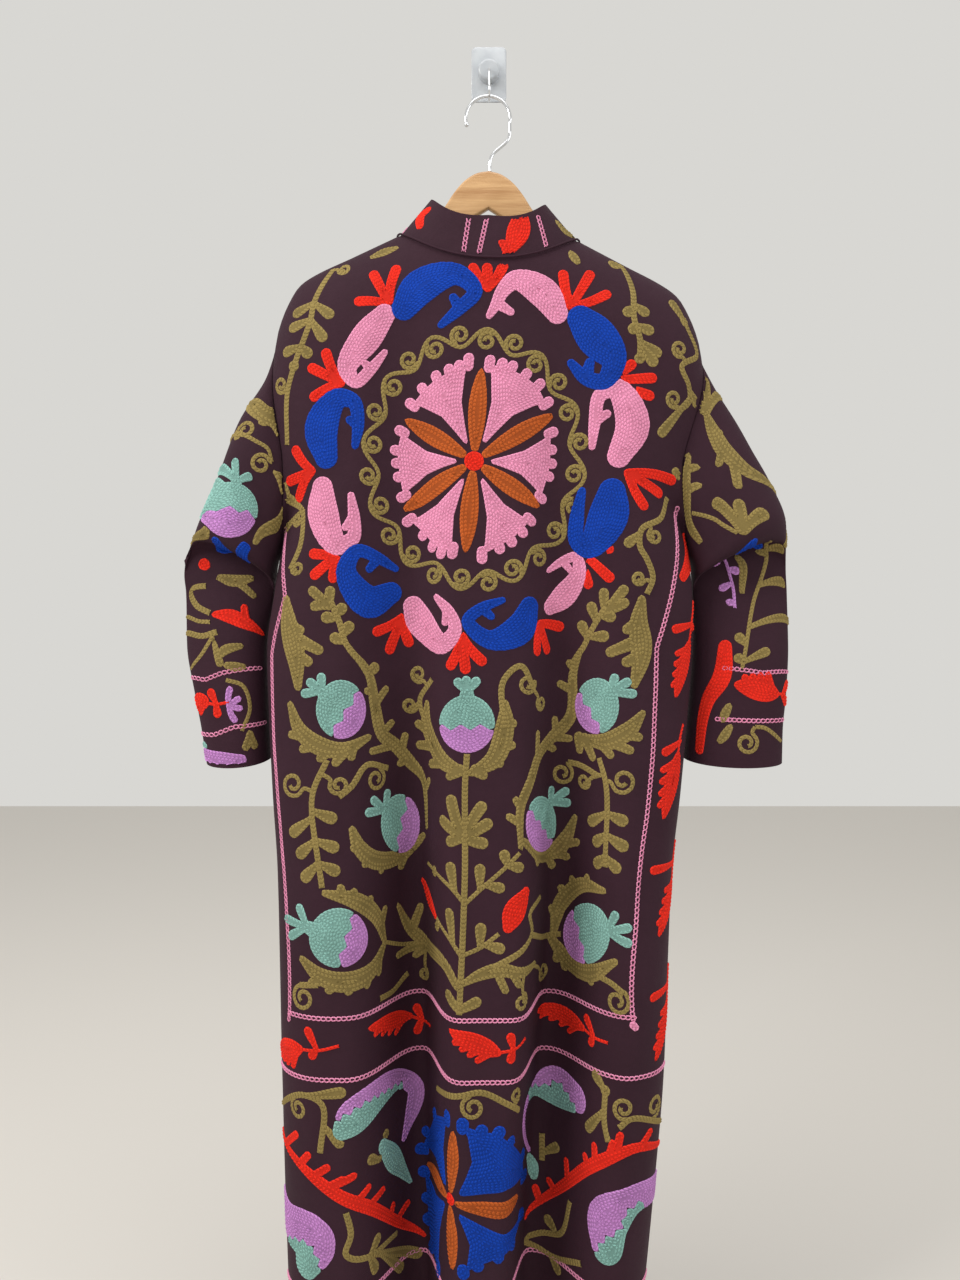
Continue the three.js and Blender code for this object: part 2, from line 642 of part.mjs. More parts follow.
function hangerBar() {
  const right = HANGER_OUTLINE.map(({ out, z }) => [out, z]);
  const left = right.slice(1).reverse().map(([out, z]) => [-out, z]);
  const outline = [...right, [0, HANGER_APEX_Z], ...left].map(([x, z]) => new THREE.Vector2(x + NECK_CENTRE, z + TILT * x));
  return plate(new THREE.Shape(outline), HANGER_THICKNESS, HANGER_Y, HANGER_BEVEL);
}

function hangerHook() {
  const path = HOOK_STEM.map(({ x, z }) => vector(x, HANGER_Y, z));
  const { x, z, radius, from, to } = HOOK_LOOP;
  for (let angle = from; angle <= to; angle += HOOK_LOOP_STEP) {
    const turn = THREE.MathUtils.degToRad(angle);
    path.push(vector(x + radius * Math.cos(turn), HANGER_Y, z + radius * Math.sin(turn)));
  }
  const ball = new THREE.SphereGeometry(HOOK_BALL, 10, 8);
  ball.translate(...path.at(-1).toArray());
  return fuse(rod(path, HOOK_RADIUS, HOOK_STEPS, ROD_SIDES), ball);
}

function wallPlate() {
  const w = PLATE_WIDTH / 2;
  const h = PLATE_HEIGHT / 2;
  const r = PLATE_CORNER;
  const outline = new THREE.Shape();
  outline.moveTo(-w + r, -h);
  outline.lineTo(w - r, -h);
  outline.absarc(w - r, -h + r, r, -Math.PI / 2, 0);
  outline.lineTo(w, h - r);
  outline.absarc(w - r, h - r, r, 0, Math.PI / 2);
  outline.lineTo(-w + r, h);
  outline.absarc(-w + r, h - r, r, Math.PI / 2, Math.PI);
  outline.lineTo(-w, -h + r);
  outline.absarc(-w + r, -h + r, r, Math.PI, 1.5 * Math.PI);
  const rim = BOSS_RIM.map(({ out, up }) => new THREE.Vector2(out * BOSS_RADIUS, up * BOSS_DEPTH));
  const boss = new THREE.LatheGeometry(rim, BOSS_SIDES);
  boss.rotateX(Math.PI);
  boss.translate(0, -PLATE_THICKNESS / 2, 0);
  return fuse(plate(outline, PLATE_THICKNESS, -PLATE_THICKNESS / 2, 0), boss);
}

function wallHook() {
  const root = -PLATE_THICKNESS / 2 - BOSS_DEPTH - HOOK_SEAT;
  const path = J_SHANK.map(({ back: fromRoot, z }) => vector(0, root - fromRoot, z));
  path.push(vector(0, J_SHANK_END.y, J_SHANK_END.z));
  const { y, z, radius } = J_BEND;
  for (let angle = J_BEND_TURN.from; angle <= J_BEND_TURN.to; angle += J_BEND_TURN.step) {
    const turn = THREE.MathUtils.degToRad(angle);
    path.push(vector(0, y - radius * Math.cos(turn), z + radius * Math.sin(turn)));
  }
  return rod(path, J_RADIUS, J_STEPS, ROD_SIDES);
}

// ---- joining solids ----

const wasm = await Module();
wasm.setup();

function solid(geometry) {
  const bare = geometry.clone();
  bare.deleteAttribute("normal");
  bare.deleteAttribute("uv");
  const merged = mergeVertices(bare, 1e-3);
  return new wasm.Manifold(new wasm.Mesh({
    numProp: 3,
    vertProperties: merged.attributes.position.array,
    triVerts: new Uint32Array(merged.index.array),
  }));
}

function fuse(first, second) {
  const mesh = solid(first).add(solid(second)).getMesh();
  const geometry = new THREE.BufferGeometry();
  geometry.setAttribute("position", new THREE.Float32BufferAttribute(mesh.vertProperties, 3));
  geometry.setIndex([...mesh.triVerts]);
  return geometry;
}

// ---- the part ----

const finish = (color, roughness, metalness) => new THREE.MeshStandardMaterial({ color, roughness, metalness });
const FINISHES = {
  cloth: finish(COLOURS.cloth, 0.85, 0),
  piping: finish(COLOURS.piping, 0.85, 0),
  wood: finish(COLOURS.wood, 0.45, 0),
  chrome: finish(COLOURS.chrome, 0.12, 1),
  plate: finish(COLOURS.plate, 0.2, 0),
};

function piece(name, geometry, material) {
  const mesh = new THREE.Mesh(geometry, material);
  mesh.name = name;
  return mesh;
}

const robe = new THREE.Group();
robe.add(
  piece("back", back(), FINISHES.cloth),
  piece("front_left", front(-1), FINISHES.cloth),
  piece("front_right", front(1), FINISHES.cloth),
  piece("sleeve_left", sleeve(-1), FINISHES.cloth),
  piece("sleeve_right", sleeve(1), FINISHES.cloth),
  piece("collar", collar(), FINISHES.cloth),
  piece("neck_piping", neckPiping(), FINISHES.piping),
);

const hanger = new THREE.Group();
hanger.add(
  piece("hanger_bar", hangerBar(), FINISHES.wood),
  piece("hanger_hook", hangerHook(), FINISHES.chrome),
);

const holder = new THREE.Group();
holder.add(
  piece("wall_plate", wallPlate(), FINISHES.plate),
  piece("wall_hook", wallHook(), FINISHES.chrome),
);

const part = new THREE.Group();
part.add(robe, hanger, holder);
export default part;
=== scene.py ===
"""An embroidered robe on its wooden hanger, seen from the back, dressed over its CAD frame.

The cloth's tables are the frame's own, in millimetres, and MM turns them into Blender's metres. The stitches
of each piece of cloth lie on a Sheet: a grid of points with flat coordinates, s across and t down the flat
cloth, so that what is laid out flat follows every fold. A motif is placed by pixels of its spine, tips or
box, in the photograph's 960 x 1280 frame, and drawn by a function of its own.
"""
import math
import types

import bpy
import mathutils
import numpy as np
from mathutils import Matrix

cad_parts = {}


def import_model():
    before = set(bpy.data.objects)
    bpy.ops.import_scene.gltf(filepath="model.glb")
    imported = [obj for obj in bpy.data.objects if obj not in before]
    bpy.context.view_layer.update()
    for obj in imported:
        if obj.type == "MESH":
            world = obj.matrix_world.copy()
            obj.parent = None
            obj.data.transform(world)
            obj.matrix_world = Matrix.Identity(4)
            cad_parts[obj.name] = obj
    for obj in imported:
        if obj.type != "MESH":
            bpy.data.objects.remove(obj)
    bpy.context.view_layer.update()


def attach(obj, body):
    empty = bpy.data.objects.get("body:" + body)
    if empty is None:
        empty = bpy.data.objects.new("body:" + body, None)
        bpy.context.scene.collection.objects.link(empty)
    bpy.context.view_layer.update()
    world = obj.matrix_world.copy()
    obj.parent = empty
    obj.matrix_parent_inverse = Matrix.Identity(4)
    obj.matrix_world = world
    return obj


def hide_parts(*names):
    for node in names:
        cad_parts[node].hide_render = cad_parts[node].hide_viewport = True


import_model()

MM = 0.001

# ---- camera ----

CAMERA_AT = (-11.0, -1140.0, -696.0)  # mm
CAMERA_LENS = 26.0
CAMERA_SENSOR = 36.0  # the long side of the picture
PICTURE = (960, 1280)
FOCAL_PIXELS = CAMERA_LENS / CAMERA_SENSOR * PICTURE[1]

# ---- the robe's tables, in mm ----


def table(columns, *rows):
    """Rows of numbers under named columns."""
    names = columns.split()
    return {name: np.array([row[i] for row in rows], float) for i, name in enumerate(names)}


CLOTH = 2.0
HANGER_Y = -40.0
TILT = -0.03
TILT_FADE = 0.1
NECK_HALF = 107.0
NECK_CENTRE = -1.0
BACK_NECK_DROP = 42.0
BACK_NECK_POWER = 2.2
FRONT_NECK_Z = -300.0
COLLAR_HEIGHT = 52.0
HEM_Z = -1514.0
OPENING_TOP = 27.0
OPENING_HEM = 44.0
SHOULDER = table(
    "out z", (107, -222), (160, -248.5), (208, -272.5), (222, -283), (235, -304), (245, -330), (250, -357)
)
SHOULDER_OUT = SHOULDER["out"][-1]
SHOULDER_POWER = 1.3  # columns lie closer together by the neck
NECK_SHARE = NECK_HALF / SHOULDER_OUT
TOP_FADE = 0.12  # of the drop, over which the top's outline passes into the sides'
ARMHOLE_EDGE_POWER = 9  # how late the cloth turns in to the armhole
SIDE_EDGE_POWERS = (7, 0.45)  # and to the side seam, in a rounder bend
BODY = table(
    "z middle half",
    (-357, -5, 252), (-402, -7, 243), (-440, -8, 236), (-500, -8, 230), (-545, -7, 232), (-590, -6, 238),
    (-640, -7, 244), (-700, -11, 248), (-780, -13, 244), (-874, -15, 237), (-960, -17, 229),
    (-1060, -18, 225), (-1190, -19, 221), (-1330, -23, 213), (-1514, -29, 200),
)
ARMHOLE = table(
    "z back front",
    (-357, -40, -40), (-362, -52, -31), (-372, -62, -25), (-394, -70, -22), (-426, -75, -20),
    (-500, -78, -20), (-548, -73, -24), (-590, -50, -50),
)
SIDE_SEAM = table("z y", (-590, -50), (-700, -55), (-1514, -58))
ARMPIT_Z = SIDE_SEAM["z"][0]
FULLNESS = table(
    "z out fold",
    (-222, 55, 0), (-300, 57, 3), (-450, 62, 12), (-600, 67, 22), (-800, 76, 44), (-1000, 89, 74),
    (-1110, 95, 86), (-1514, 98, 88),
)
FOLDS = table(
    "z left leftOuter leftInner right rightInner rightOuter",
    (-300, -96, 40, 34, 88, 34, 40), (-600, -93, 44, 32, 84, 30, 42), (-900, -86, 46, 26, 78, 25, 46),
    (-1110, -80, 46, 24, 68, 22, 50), (-1300, -78, 46, 24, 52, 22, 56), (-1514, -78, 46, 24, 44, 22, 58),
)
FOLD_POWER = 2.4
BACK_ROUNDING = 110.0
FRONT_ROUNDING = 30.0
FRONT_Y = -18.0
FRONT_WAVE = 5.0
FRONT_WAVE_LENGTH = 24.0
FRONT_WAVE_FADE = 400.0
SIDE_START = -530.0
SIDE_END = -630.0
DROPS = np.array([
    0, 4, 14, 36, 68, 104, 146, 190, 233,
    290, 350, 415, 480, 545, 610, 680, 750, 820, 890, 960, 1030, 1095, 1157,
], float)
ARMPIT_ROW = 8
SLEEVE = table(
    "outerZ innerZ backZ backY frontY",
    (-357, -590, -475, -76, -21), (-384, -595, -488, -81, -19), (-412, -600, -504, -86, -18),
    (-440, -605, -521, -90, -17), (-470, -610, -539, -94, -16), (-503, -615, -557, -97, -15),
    (-535, -620, -574, -99, -14), (-562, -625, -587, -95, -14), (-585, -630, -592, -81, -14),
    (-604, -636, -585, -65, -14), (-622, -643, -592, -54, -14), (-648, -658, -622, -56, -14),
    (-682, -688, -665, -66, -13), (-720, -723, -712, -74, -13), (-760, -762, -760, -78, -12),
    (-800, -799, -803, -80, -12), (-838, -835, -843, -81, -12),
)
SLEEVE_OUTER = table(
    "z left right",
    (-357, 257, 247), (-390, 266, 262), (-437, 292, 287), (-470, 304, 304), (-510, 318, 326),
    (-560, 339, 346), (-590, 350, 348), (-620, 359, 349), (-640, 357, 350), (-704, 355, 351),
    (-760, 345, 348), (-800, 337, 344), (-838, 331, 343),
)
SLEEVE_CLEAR = 4.0
SLEEVE_OUTER_Y = -52.0
SLEEVE_INNER_Y = table("z y", (-590, -50), (-650, -44), (-838, -38))
SLEEVE_ROUNDNESS = 0.8
ARMHOLE_FADE = 4.0
SEAM_HALF_GAP = 0.15

# Creases of the hanging cloth, which the frame leaves out. Each runs from one place to another, named by the
# pixels that show it, and its depth in mm is inward for a trough and outward, below zero, for a ridge.
BACK_CREASES = table(
    "fromX fromY toX toY width depth",
    (300, 330, 330, 420, 14, 1.6), (352, 300, 348, 470, 12, 1.2), (640, 330, 612, 440, 14, 1.6),
    (290, 560, 330, 660, 13, 2.2), (668, 560, 640, 640, 12, 1.8), (284, 700, 318, 880, 16, 2.6),
    (300, 820, 345, 1000, 15, -2.2), (330, 700, 352, 860, 12, 1.8), (655, 700, 640, 900, 13, 2.2),
    (620, 830, 634, 1000, 14, -1.8), (600, 900, 610, 1100, 16, 2.0), (350, 960, 330, 1160, 18, 2.4),
    (470, 700, 476, 980, 20, 1.8), (455, 1000, 470, 1180, 16, -1.6), (290, 1080, 300, 1280, 16, 2.2),
    (640, 1060, 632, 1280, 16, 2.0), (410, 560, 470, 566, 10, 1.0), (520, 300, 530, 420, 14, 1.2),
    (560, 640, 600, 760, 13, 1.6), (380, 640, 360, 760, 13, 1.6),
)
CREASE_PX = 1.125  # mm for each pixel at the back's average distance
CREASE_END = 3.5  # how fast a crease fades in and out past its ends, for its length
FRONT_CREASE_SHARE = 0.7


# ---- reading the tables ----


def read(rows, column, at, key="z"):
    """One column of a table on a smooth curve through its rows that never swings past them."""
    order = np.argsort(rows[key])
    xs = rows[key][order]
    ys = rows[column][order]
    at = np.clip(np.asarray(at, float), xs[0], xs[-1])
    span = np.diff(xs)
    slope = np.diff(ys) / span
    tangent = np.empty_like(ys)
    tangent[0] = slope[0]
    tangent[-1] = slope[-1]
    both = slope[:-1] * slope[1:]
    total = np.where(both > 0, slope[:-1] + slope[1:], 1.0)
    tangent[1:-1] = np.where(both > 0, 2 * both / total, 0.0)
    i = np.clip(np.searchsorted(xs, at) - 1, 0, len(span) - 1)
    t = (at - xs[i]) / span[i]
    bend = t * t * (3 - 2 * t)
    from_here = tangent[i] * span[i] * t * (1 - t) ** 2
    to_next = tangent[i + 1] * span[i] * t * t * (t - 1)
    return ys[i] + from_here + bend * (ys[i + 1] - ys[i]) + to_next


def mix(a, b, t):
    """From a at t = 0 to b at t = 1."""
    return a + (b - a) * t


def unit(vectors):
    """The vectors at a length of 1."""
    return vectors / np.maximum(np.linalg.norm(vectors, axis=-1, keepdims=True), 1e-9)


def left_of(vectors):
    """Flat vectors turned by a quarter."""
    return np.stack([-vectors[..., 1], vectors[..., 0]], -1)


def smooth(t):
    """From 0 to 1 with level ends."""
    t = np.clip(t, 0.0, 1.0)
    return t * t * (3 - 2 * t)


def round_off(drop, over):
    """A quarter circle that rises from 0 to 1 over a distance."""
    return np.sqrt(1 - (1 - np.clip(drop / over, 0, 1)) ** 2)


# ---- the body's surfaces, in mm ----


def ridge_z(x):
    """The shoulder line at a distance from the neck's centre, carried on inwards over the neck."""
    out = np.abs(x)
    first, second = SHOULDER["out"][:2]
    slope = (SHOULDER["z"][0] - SHOULDER["z"][1]) / (second - first)
    return np.where(out < first, SHOULDER["z"][0] + slope * (first - out), read(SHOULDER, "z", out, "out"))


def fold_depth(x, z):
    """How far the back's two long valleys draw the cloth in at a place."""
    depth = read(FULLNESS, "fold", z)
    troughs = []
    for name, is_left in (("left", True), ("right", False)):
        off = x - read(FOLDS, name, z)
        outer = read(FOLDS, name + "Outer", z)
        inner = read(FOLDS, name + "Inner", z)
        width = np.where((off < 0) == is_left, outer, inner)
        troughs.append(np.exp(-(np.abs(off / width) ** FOLD_POWER)))
    return depth * np.maximum(*troughs)


def creases(x, z):
    """How far the cloth's small creases draw it in at a place."""
    total = np.zeros_like(x)
    for k in range(len(BACK_CREASES["depth"])):
        row = {name: values[k] for name, values in BACK_CREASES.items()}
        ax, az = crease_place(row["fromX"], row["fromY"])
        bx, bz = crease_place(row["toX"], row["toY"])
        long = (bx - ax) ** 2 + (bz - az) ** 2
        share = ((x - ax) * (bx - ax) + (z - az) * (bz - az)) / long
        held = np.clip(share, 0, 1)
        away = np.hypot(x - mix(ax, bx, held), z - mix(az, bz, held))
        ends = smooth(share * CREASE_END + 0.5) * smooth((1 - share) * CREASE_END + 0.5)
        total += row["depth"] * np.exp(-((away / row["width"]) ** 2)) * ends
    return total


def crease_place(px, py):
    """The x and z that a pixel shows, where the back hangs on average."""
    return (px - PICTURE[0] / 2) * CREASE_PX + CAMERA_AT[0], (PICTURE[1] / 2 - py) * CREASE_PX + CAMERA_AT[2]


def back_top_z(x):
    """The back's upper edge: the shoulders, and the scoop of the neck between them."""
    out = np.abs(x - NECK_CENTRE)
    inside = SHOULDER["z"][0] - BACK_NECK_DROP * (1 - np.minimum(out / NECK_HALF, 1) ** BACK_NECK_POWER)
    return np.where(out >= NECK_HALF, ridge_z(x - NECK_CENTRE), inside)


def body_point(across, top_x, top_z, drop, full_y, layer):
    """What the back and the fronts share: the outline, the edges and the tilt of the hanger."""
    z = mix(top_z, HEM_Z, drop)
    x = mix(top_x, read(BODY, "middle", z) + across * read(BODY, "half", z), smooth(drop / TOP_FADE))
    side = smooth((SIDE_START - z) / (SIDE_START - SIDE_END))
    flat_edge = 1 - np.abs(across) ** ARMHOLE_EDGE_POWER
    power, root = SIDE_EDGE_POWERS
    round_edge = (1 - np.minimum(1, np.abs(across)) ** power) ** root
    inside = mix(flat_edge, round_edge, side)
    below = ridge_z(top_x - NECK_CENTRE) - z
    edge_z = mix(SHOULDER["z"][-1], HEM_Z, drop)
    edge_y = np.where(edge_z > ARMPIT_Z, read(ARMHOLE, layer, edge_z), read(SIDE_SEAM, "y", edge_z))
    y = mix(edge_y, full_y(x, z, below), inside)
    return np.stack([x, y, z + TILT * x * np.exp(-drop / TILT_FADE)], -1)


def back_point(across, drop):
    """A point of the back, by its share of the half width and of the drop to the hem."""
    top_x = NECK_CENTRE + across * SHOULDER_OUT
    top_z = back_top_z(top_x)

    def full_y(x, z, below):
        out = read(FULLNESS, "out", z) - fold_depth(x, z) - creases(x, z)
        return HANGER_Y - out * round_off(below, BACK_ROUNDING)

    return body_point(across, top_x, top_z, drop, full_y, "back")


def shoulder_share(inwards):
    """How far out a front's columns stand on the shoulder, for the whole shoulder."""
    return 1 - (1 - NECK_SHARE) * np.minimum(inwards, 1) ** SHOULDER_POWER


def front_across(inwards, drop):
    """Where a front's columns stand: 0 is the side seam, 1 the neck's side point and 2 the front edge."""
    opening = mix(OPENING_TOP, OPENING_HEM, drop) / read(BODY, "half", mix(FRONT_NECK_Z, HEM_Z, drop))
    return np.where(inwards <= 1, shoulder_share(inwards), mix(NECK_SHARE, opening, inwards - 1))


def front_top(side, inwards):
    """The x and z of a front's upper edge."""
    shoulder = shoulder_share(inwards) * SHOULDER_OUT
    out = np.where(inwards <= 1, shoulder, mix(NECK_HALF, OPENING_TOP, inwards - 1))
    top_x = NECK_CENTRE + side * out
    bend = np.sin(np.clip(inwards - 1, 0, 1) * math.pi / 2)
    neck_z = mix(SHOULDER["z"][0], FRONT_NECK_Z, bend)
    return top_x, np.where(inwards <= 1, ridge_z(top_x - NECK_CENTRE), neck_z)


def front_point(side, inwards, drop):
    """A point of a front. side is -1 for the left one and 1 for the right one."""
    top_x, top_z = front_top(side, inwards)

    def full_y(x, z, below):
        wave = FRONT_WAVE * np.sin((x - NECK_CENTRE) / FRONT_WAVE_LENGTH + side)
        wave = wave * smooth(below / FRONT_WAVE_FADE)
        out = FRONT_Y - HANGER_Y + wave - FRONT_CREASE_SHARE * creases(x, z)
        return HANGER_Y + out * round_off(below, FRONT_ROUNDING)

    return body_point(side * front_across(inwards, drop), top_x, top_z, drop, full_y, "front")


# ---- the sleeves' surface ----


def sleeve_ring(side, step, turn):
    """Points of a sleeve's oval at a step down the arm, from the outer side round over the back."""
    rows = dict(SLEEVE, step=np.arange(len(SLEEVE["outerZ"]), dtype=float))

    def at(column):
        return read(rows, column, step, "step")

    outer_z, inner_z, back_z = at("outerZ"), at("innerZ"), at("backZ")
    outer_side = read(SLEEVE_OUTER, "left" if side < 0 else "right", outer_z)
    body_side = side * read(BODY, "middle", inner_z) + read(BODY, "half", inner_z) + SLEEVE_CLEAR
    inner_y = read(SLEEVE_INNER_Y, "y", inner_z)
    c = np.cos(turn)
    s = np.sin(turn)
    side_y = mix(inner_y, SLEEVE_OUTER_Y, (1 + c) / 2)
    face_y = np.where(s > 0, at("backY"), at("frontY"))
    middle_z = (outer_z + inner_z) / 2
    x = side * mix(body_side, outer_side, (1 + c) / 2)
    y = mix(side_y, face_y, np.abs(s) ** SLEEVE_ROUNDNESS)
    z = middle_z + (outer_z - inner_z) / 2 * c + np.maximum(0, s) * (back_z - middle_z)
    return np.stack([x, y, z], -1)


def armhole_point(side, turn):
    """The armhole seam, with the same turns as the sleeve's rings."""
    rows_round = 2 * ARMPIT_ROW
    place = np.mod(turn / (2 * math.pi) * rows_round, rows_round)
    on_back = place <= ARMPIT_ROW
    row = np.where(on_back, place, rows_round - place)
    drop = np.interp(row, np.arange(len(DROPS)), DROPS) / DROPS[-1]
    back_edge = back_point(np.full_like(drop, side), drop)
    front_edge = front_point(side, np.zeros_like(drop), drop)
    return np.where(on_back[..., None], back_edge, front_edge)


def sleeve_point(side, step, turn):
    """A point of a sleeve, whose first rings pass from the armhole seam into the sleeve's own."""
    keep = 1 - smooth(step / ARMHOLE_FADE)
    moved = armhole_point(side, turn) - sleeve_ring(side, np.zeros_like(step), turn)
    return sleeve_ring(side, step, turn) + moved * keep[..., None]


# ---- sheets: a surface with flat coordinates ----


SHEET_MARGIN = 2.0  # mm kept free of stitches at the cloth's edges
OFF_CLOTH_COST = 400  # in square pixels, so that a pixel finds the cloth that shows there
FAR_SIDE_COST = 2500
FAR_SIDE_TURN = 0.1  # how far a surface's y direction points away from the camera
FLAT_ENOUGH = 0.05  # least share of a surface that the camera sees
SHEET_ROW = 5.0
SHEET_TOP_Z = -205.0
SHEET_EDGE = 0.002  # of the drop, kept free at the top
SPOT_MARGIN = 9.0


def square_directions(points, is_tube):
    """Unit vectors square to a grid of points, by the turn from its columns to its rows."""
    if is_tube:
        along = np.roll(points, -1, 1) - np.roll(points, 1, 1)
    else:
        along = np.gradient(points, axis=1)
    down = np.gradient(points, axis=0)
    return unit(np.cross(along, down))


def to_pixels(points):
    """Where the camera shows points, in the photograph's pixels, and how far each is."""
    away = points[..., 1] - CAMERA_AT[1]
    px = PICTURE[0] / 2 + (points[..., 0] - CAMERA_AT[0]) / away * FOCAL_PIXELS
    py = PICTURE[1] / 2 - (points[..., 2] - CAMERA_AT[2]) / away * FOCAL_PIXELS
    return px, py, away


class Sheet:
    """A surface of the cloth by flat coordinates in mm: s across it, even in each row, and t down it."""

    SPACING = 4.0

    def __init__(self, points, t, there, outward_sign):
        steps = np.linalg.norm(np.diff(points, axis=1), axis=2)
        s = np.concatenate([np.zeros((len(points), 1)), np.cumsum(steps, axis=1)], axis=1)
        s -= s[:, [points.shape[1] // 2]]
        self.low = s.min()
        count = int((s.max() - self.low) / self.SPACING) + 2
        self.s = self.low + self.SPACING * np.arange(count)
        self.t = np.asarray(t, float)
        columns = [[np.interp(self.s, s[r], points[r, :, d]) for d in range(3)] for r in range(len(points))]
        self.points = np.array(columns).transpose(0, 2, 1)
        on = np.array([np.interp(self.s, s[r], there[r].astype(float)) for r in range(len(points))])
        inside = (self.s >= s[:, [0]] + SHEET_MARGIN) & (self.s <= s[:, [-1]] - SHEET_MARGIN)
        self.there = np.where(inside, on, 0)
        self.there[[0, -1]] = 0
        self.ends = s[:, [0, -1]]
        self.known = {}
        self.normals = square_directions(self.points, False) * outward_sign
        self.pixels = to_pixels(self.points)

    def edge(self, t, which):
        """How far the cloth reaches at a height: 0 for its first edge and 1 for its last."""
        return np.interp(t, self.t, self.ends[:, which])

    def cell(self, s, t):
        """The row and column of the grid's cell at a flat place, and the shares across that cell."""
        column = np.clip((np.asarray(s) - self.low) / self.SPACING, 0, len(self.s) - 1.001)
        row = np.clip(np.interp(t, self.t, np.arange(len(self.t))), 0, len(self.t) - 1.001)
        r = row.astype(int)
        c = column.astype(int)
        return r, c, row - r, column - c

    def sample(self, values, s, t):
        """What a grid of values gives at flat places."""
        r, c, fr, fc = self.cell(s, t)
        if values.ndim == 3:
            fr = fr[..., None]
            fc = fc[..., None]
        top = values[r, c] * (1 - fc) + values[r, c + 1] * fc
        low = values[r + 1, c] * (1 - fc) + values[r + 1, c + 1] * fc
        return top * (1 - fr) + low * fr

    def place(self, s, t, lift):
        """Points that stand off the cloth at flat places."""
        normal = unit(self.sample(self.normals, s, t))
        return self.sample(self.points, s, t) + normal * np.asarray(lift)[..., None]

    def slopes(self, s, t):
        """How a point moves for each mm of s and of t."""
        h = self.SPACING
        at = self.sample(self.points, np.array([s - h, s + h, s, s]), np.array([t, t, t - h, t + h]))
        return (at[1] - at[0]) / (2 * h), (at[3] - at[2]) / (2 * h)

    def seen(self, px, py):
        """The flat coordinates that the photograph shows at a pixel."""
        if (px, py) not in self.known:
            self.known[px, py] = self.look(px, py)
        return self.known[px, py]

    def seen_behind(self, px, py):
        """The same on the far side of a tube whose coordinates start at its outer edge."""
        return self.seen(px, py) * [-1, 1]

    def look(self, px, py):
        """Find the nearest point of the grid on the picture, then step to the pixel itself."""
        gap = (self.pixels[0] - px) ** 2 + (self.pixels[1] - py) ** 2
        gap = gap + np.where(self.there > 0.5, 0, OFF_CLOTH_COST)
        gap = gap + np.where(self.normals[..., 1] > FAR_SIDE_TURN, FAR_SIDE_COST, 0)
        r, c = np.unravel_index(np.argmin(gap), gap.shape)
        r = min(max(r, 1), len(self.t) - 2)
        c = min(max(c, 1), len(self.s) - 2)
        over = [(self.pixels[k][r, c + 1] - self.pixels[k][r, c - 1]) / (2 * self.SPACING) for k in (0, 1)]
        step_t = self.t[r + 1] - self.t[r - 1]
        under = [(self.pixels[k][r + 1, c] - self.pixels[k][r - 1, c]) / step_t for k in (0, 1)]
        matrix = np.array([[over[0], under[0]], [over[1], under[1]]])
        left = np.array([px - self.pixels[0][r, c], py - self.pixels[1][r, c]])
        if abs(np.linalg.det(matrix)) < FLAT_ENOUGH:
            return np.array([self.s[c], self.t[r]])
        move = np.clip(np.linalg.solve(matrix, left), -self.SPACING, self.SPACING)
        return np.array([self.s[c] + move[0], self.t[r] + move[1]])


class FrontPlaces:
    """Where a front carries what the back carries, as far in from the side seam."""

    def __init__(self, back, front, side):
        self.back = back
        self.front = front
        self.side = side

    def moved(self, s, t):
        """A place on the flat back, moved to the flat front."""
        inwards = s - self.back.edge(t, 0) if self.side < 0 else self.back.edge(t, 1) - s
        return np.array([self.front.edge(t, 0) + inwards, t])

    def seen(self, px, py):
        return self.moved(*self.back.seen(px, py))


# ---- making meshes ----


def make_object(name, points, faces, material, flat=None, sharp=50):
    """An object of points in mm and four-cornered faces, with flat coordinates as its UV map."""
    mesh = bpy.data.meshes.new(name)
    mesh.from_pydata((points * MM).tolist(), [], faces if isinstance(faces, list) else faces.tolist())
    if flat is not None:
        corners = np.empty(len(mesh.loops), np.int32)
        mesh.loops.foreach_get("vertex_index", corners)
        layer = mesh.uv_layers.new(name="flat")
        layer.data.foreach_set("uv", flat[corners].astype(np.float32).ravel())
    mesh.shade_smooth()
    mesh.set_sharp_from_angle(angle=math.radians(sharp))
    mesh.materials.append(material)
    made = bpy.data.objects.new(name, mesh)
    bpy.context.scene.collection.objects.link(made)
    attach(made, "root")
    return made


def grid_faces(rows, columns, is_tube, first=0):
    """The four-cornered faces of a grid of points, listed row by row."""
    r, c = np.meshgrid(np.arange(rows - 1), np.arange(columns if is_tube else columns - 1), indexing="ij")
    after = (c + 1) % columns
    corners = [r * columns + c, r * columns + after, (r + 1) * columns + after, (r + 1) * columns + c]
    return first + np.stack(corners, -1).reshape(-1, 4)


def shell(outer, inward, is_tube, sign):
    """A closed wall of cloth, as points and faces that look outwards. inward = sign x (along x down)."""
    rows, columns = outer.shape[:2]
    count = rows * columns
    points = np.concatenate([outer.reshape(-1, 3), (outer + CLOTH * inward).reshape(-1, 3)])
    near = grid_faces(rows, columns, is_tube)
    far = near[:, ::-1] + count
    top = np.arange(columns if is_tube else columns - 1)
    after = (top + 1) % columns
    hem = (rows - 1) * columns
    rims = [
        np.stack([top, top + count, after + count, after], -1),
        np.stack([hem + top, hem + after, hem + after + count, hem + top + count], -1),
    ]
    if not is_tube:
        first = np.arange(rows - 1) * columns
        last = first + columns - 1
        rims.append(np.stack([first, first + columns, first + columns + count, first + count], -1))
        rims.append(np.stack([last, last + count, last + columns + count, last + columns], -1))
    faces = np.concatenate([near, far] + rims)
    return points, (faces[:, ::-1] if sign > 0 else faces)


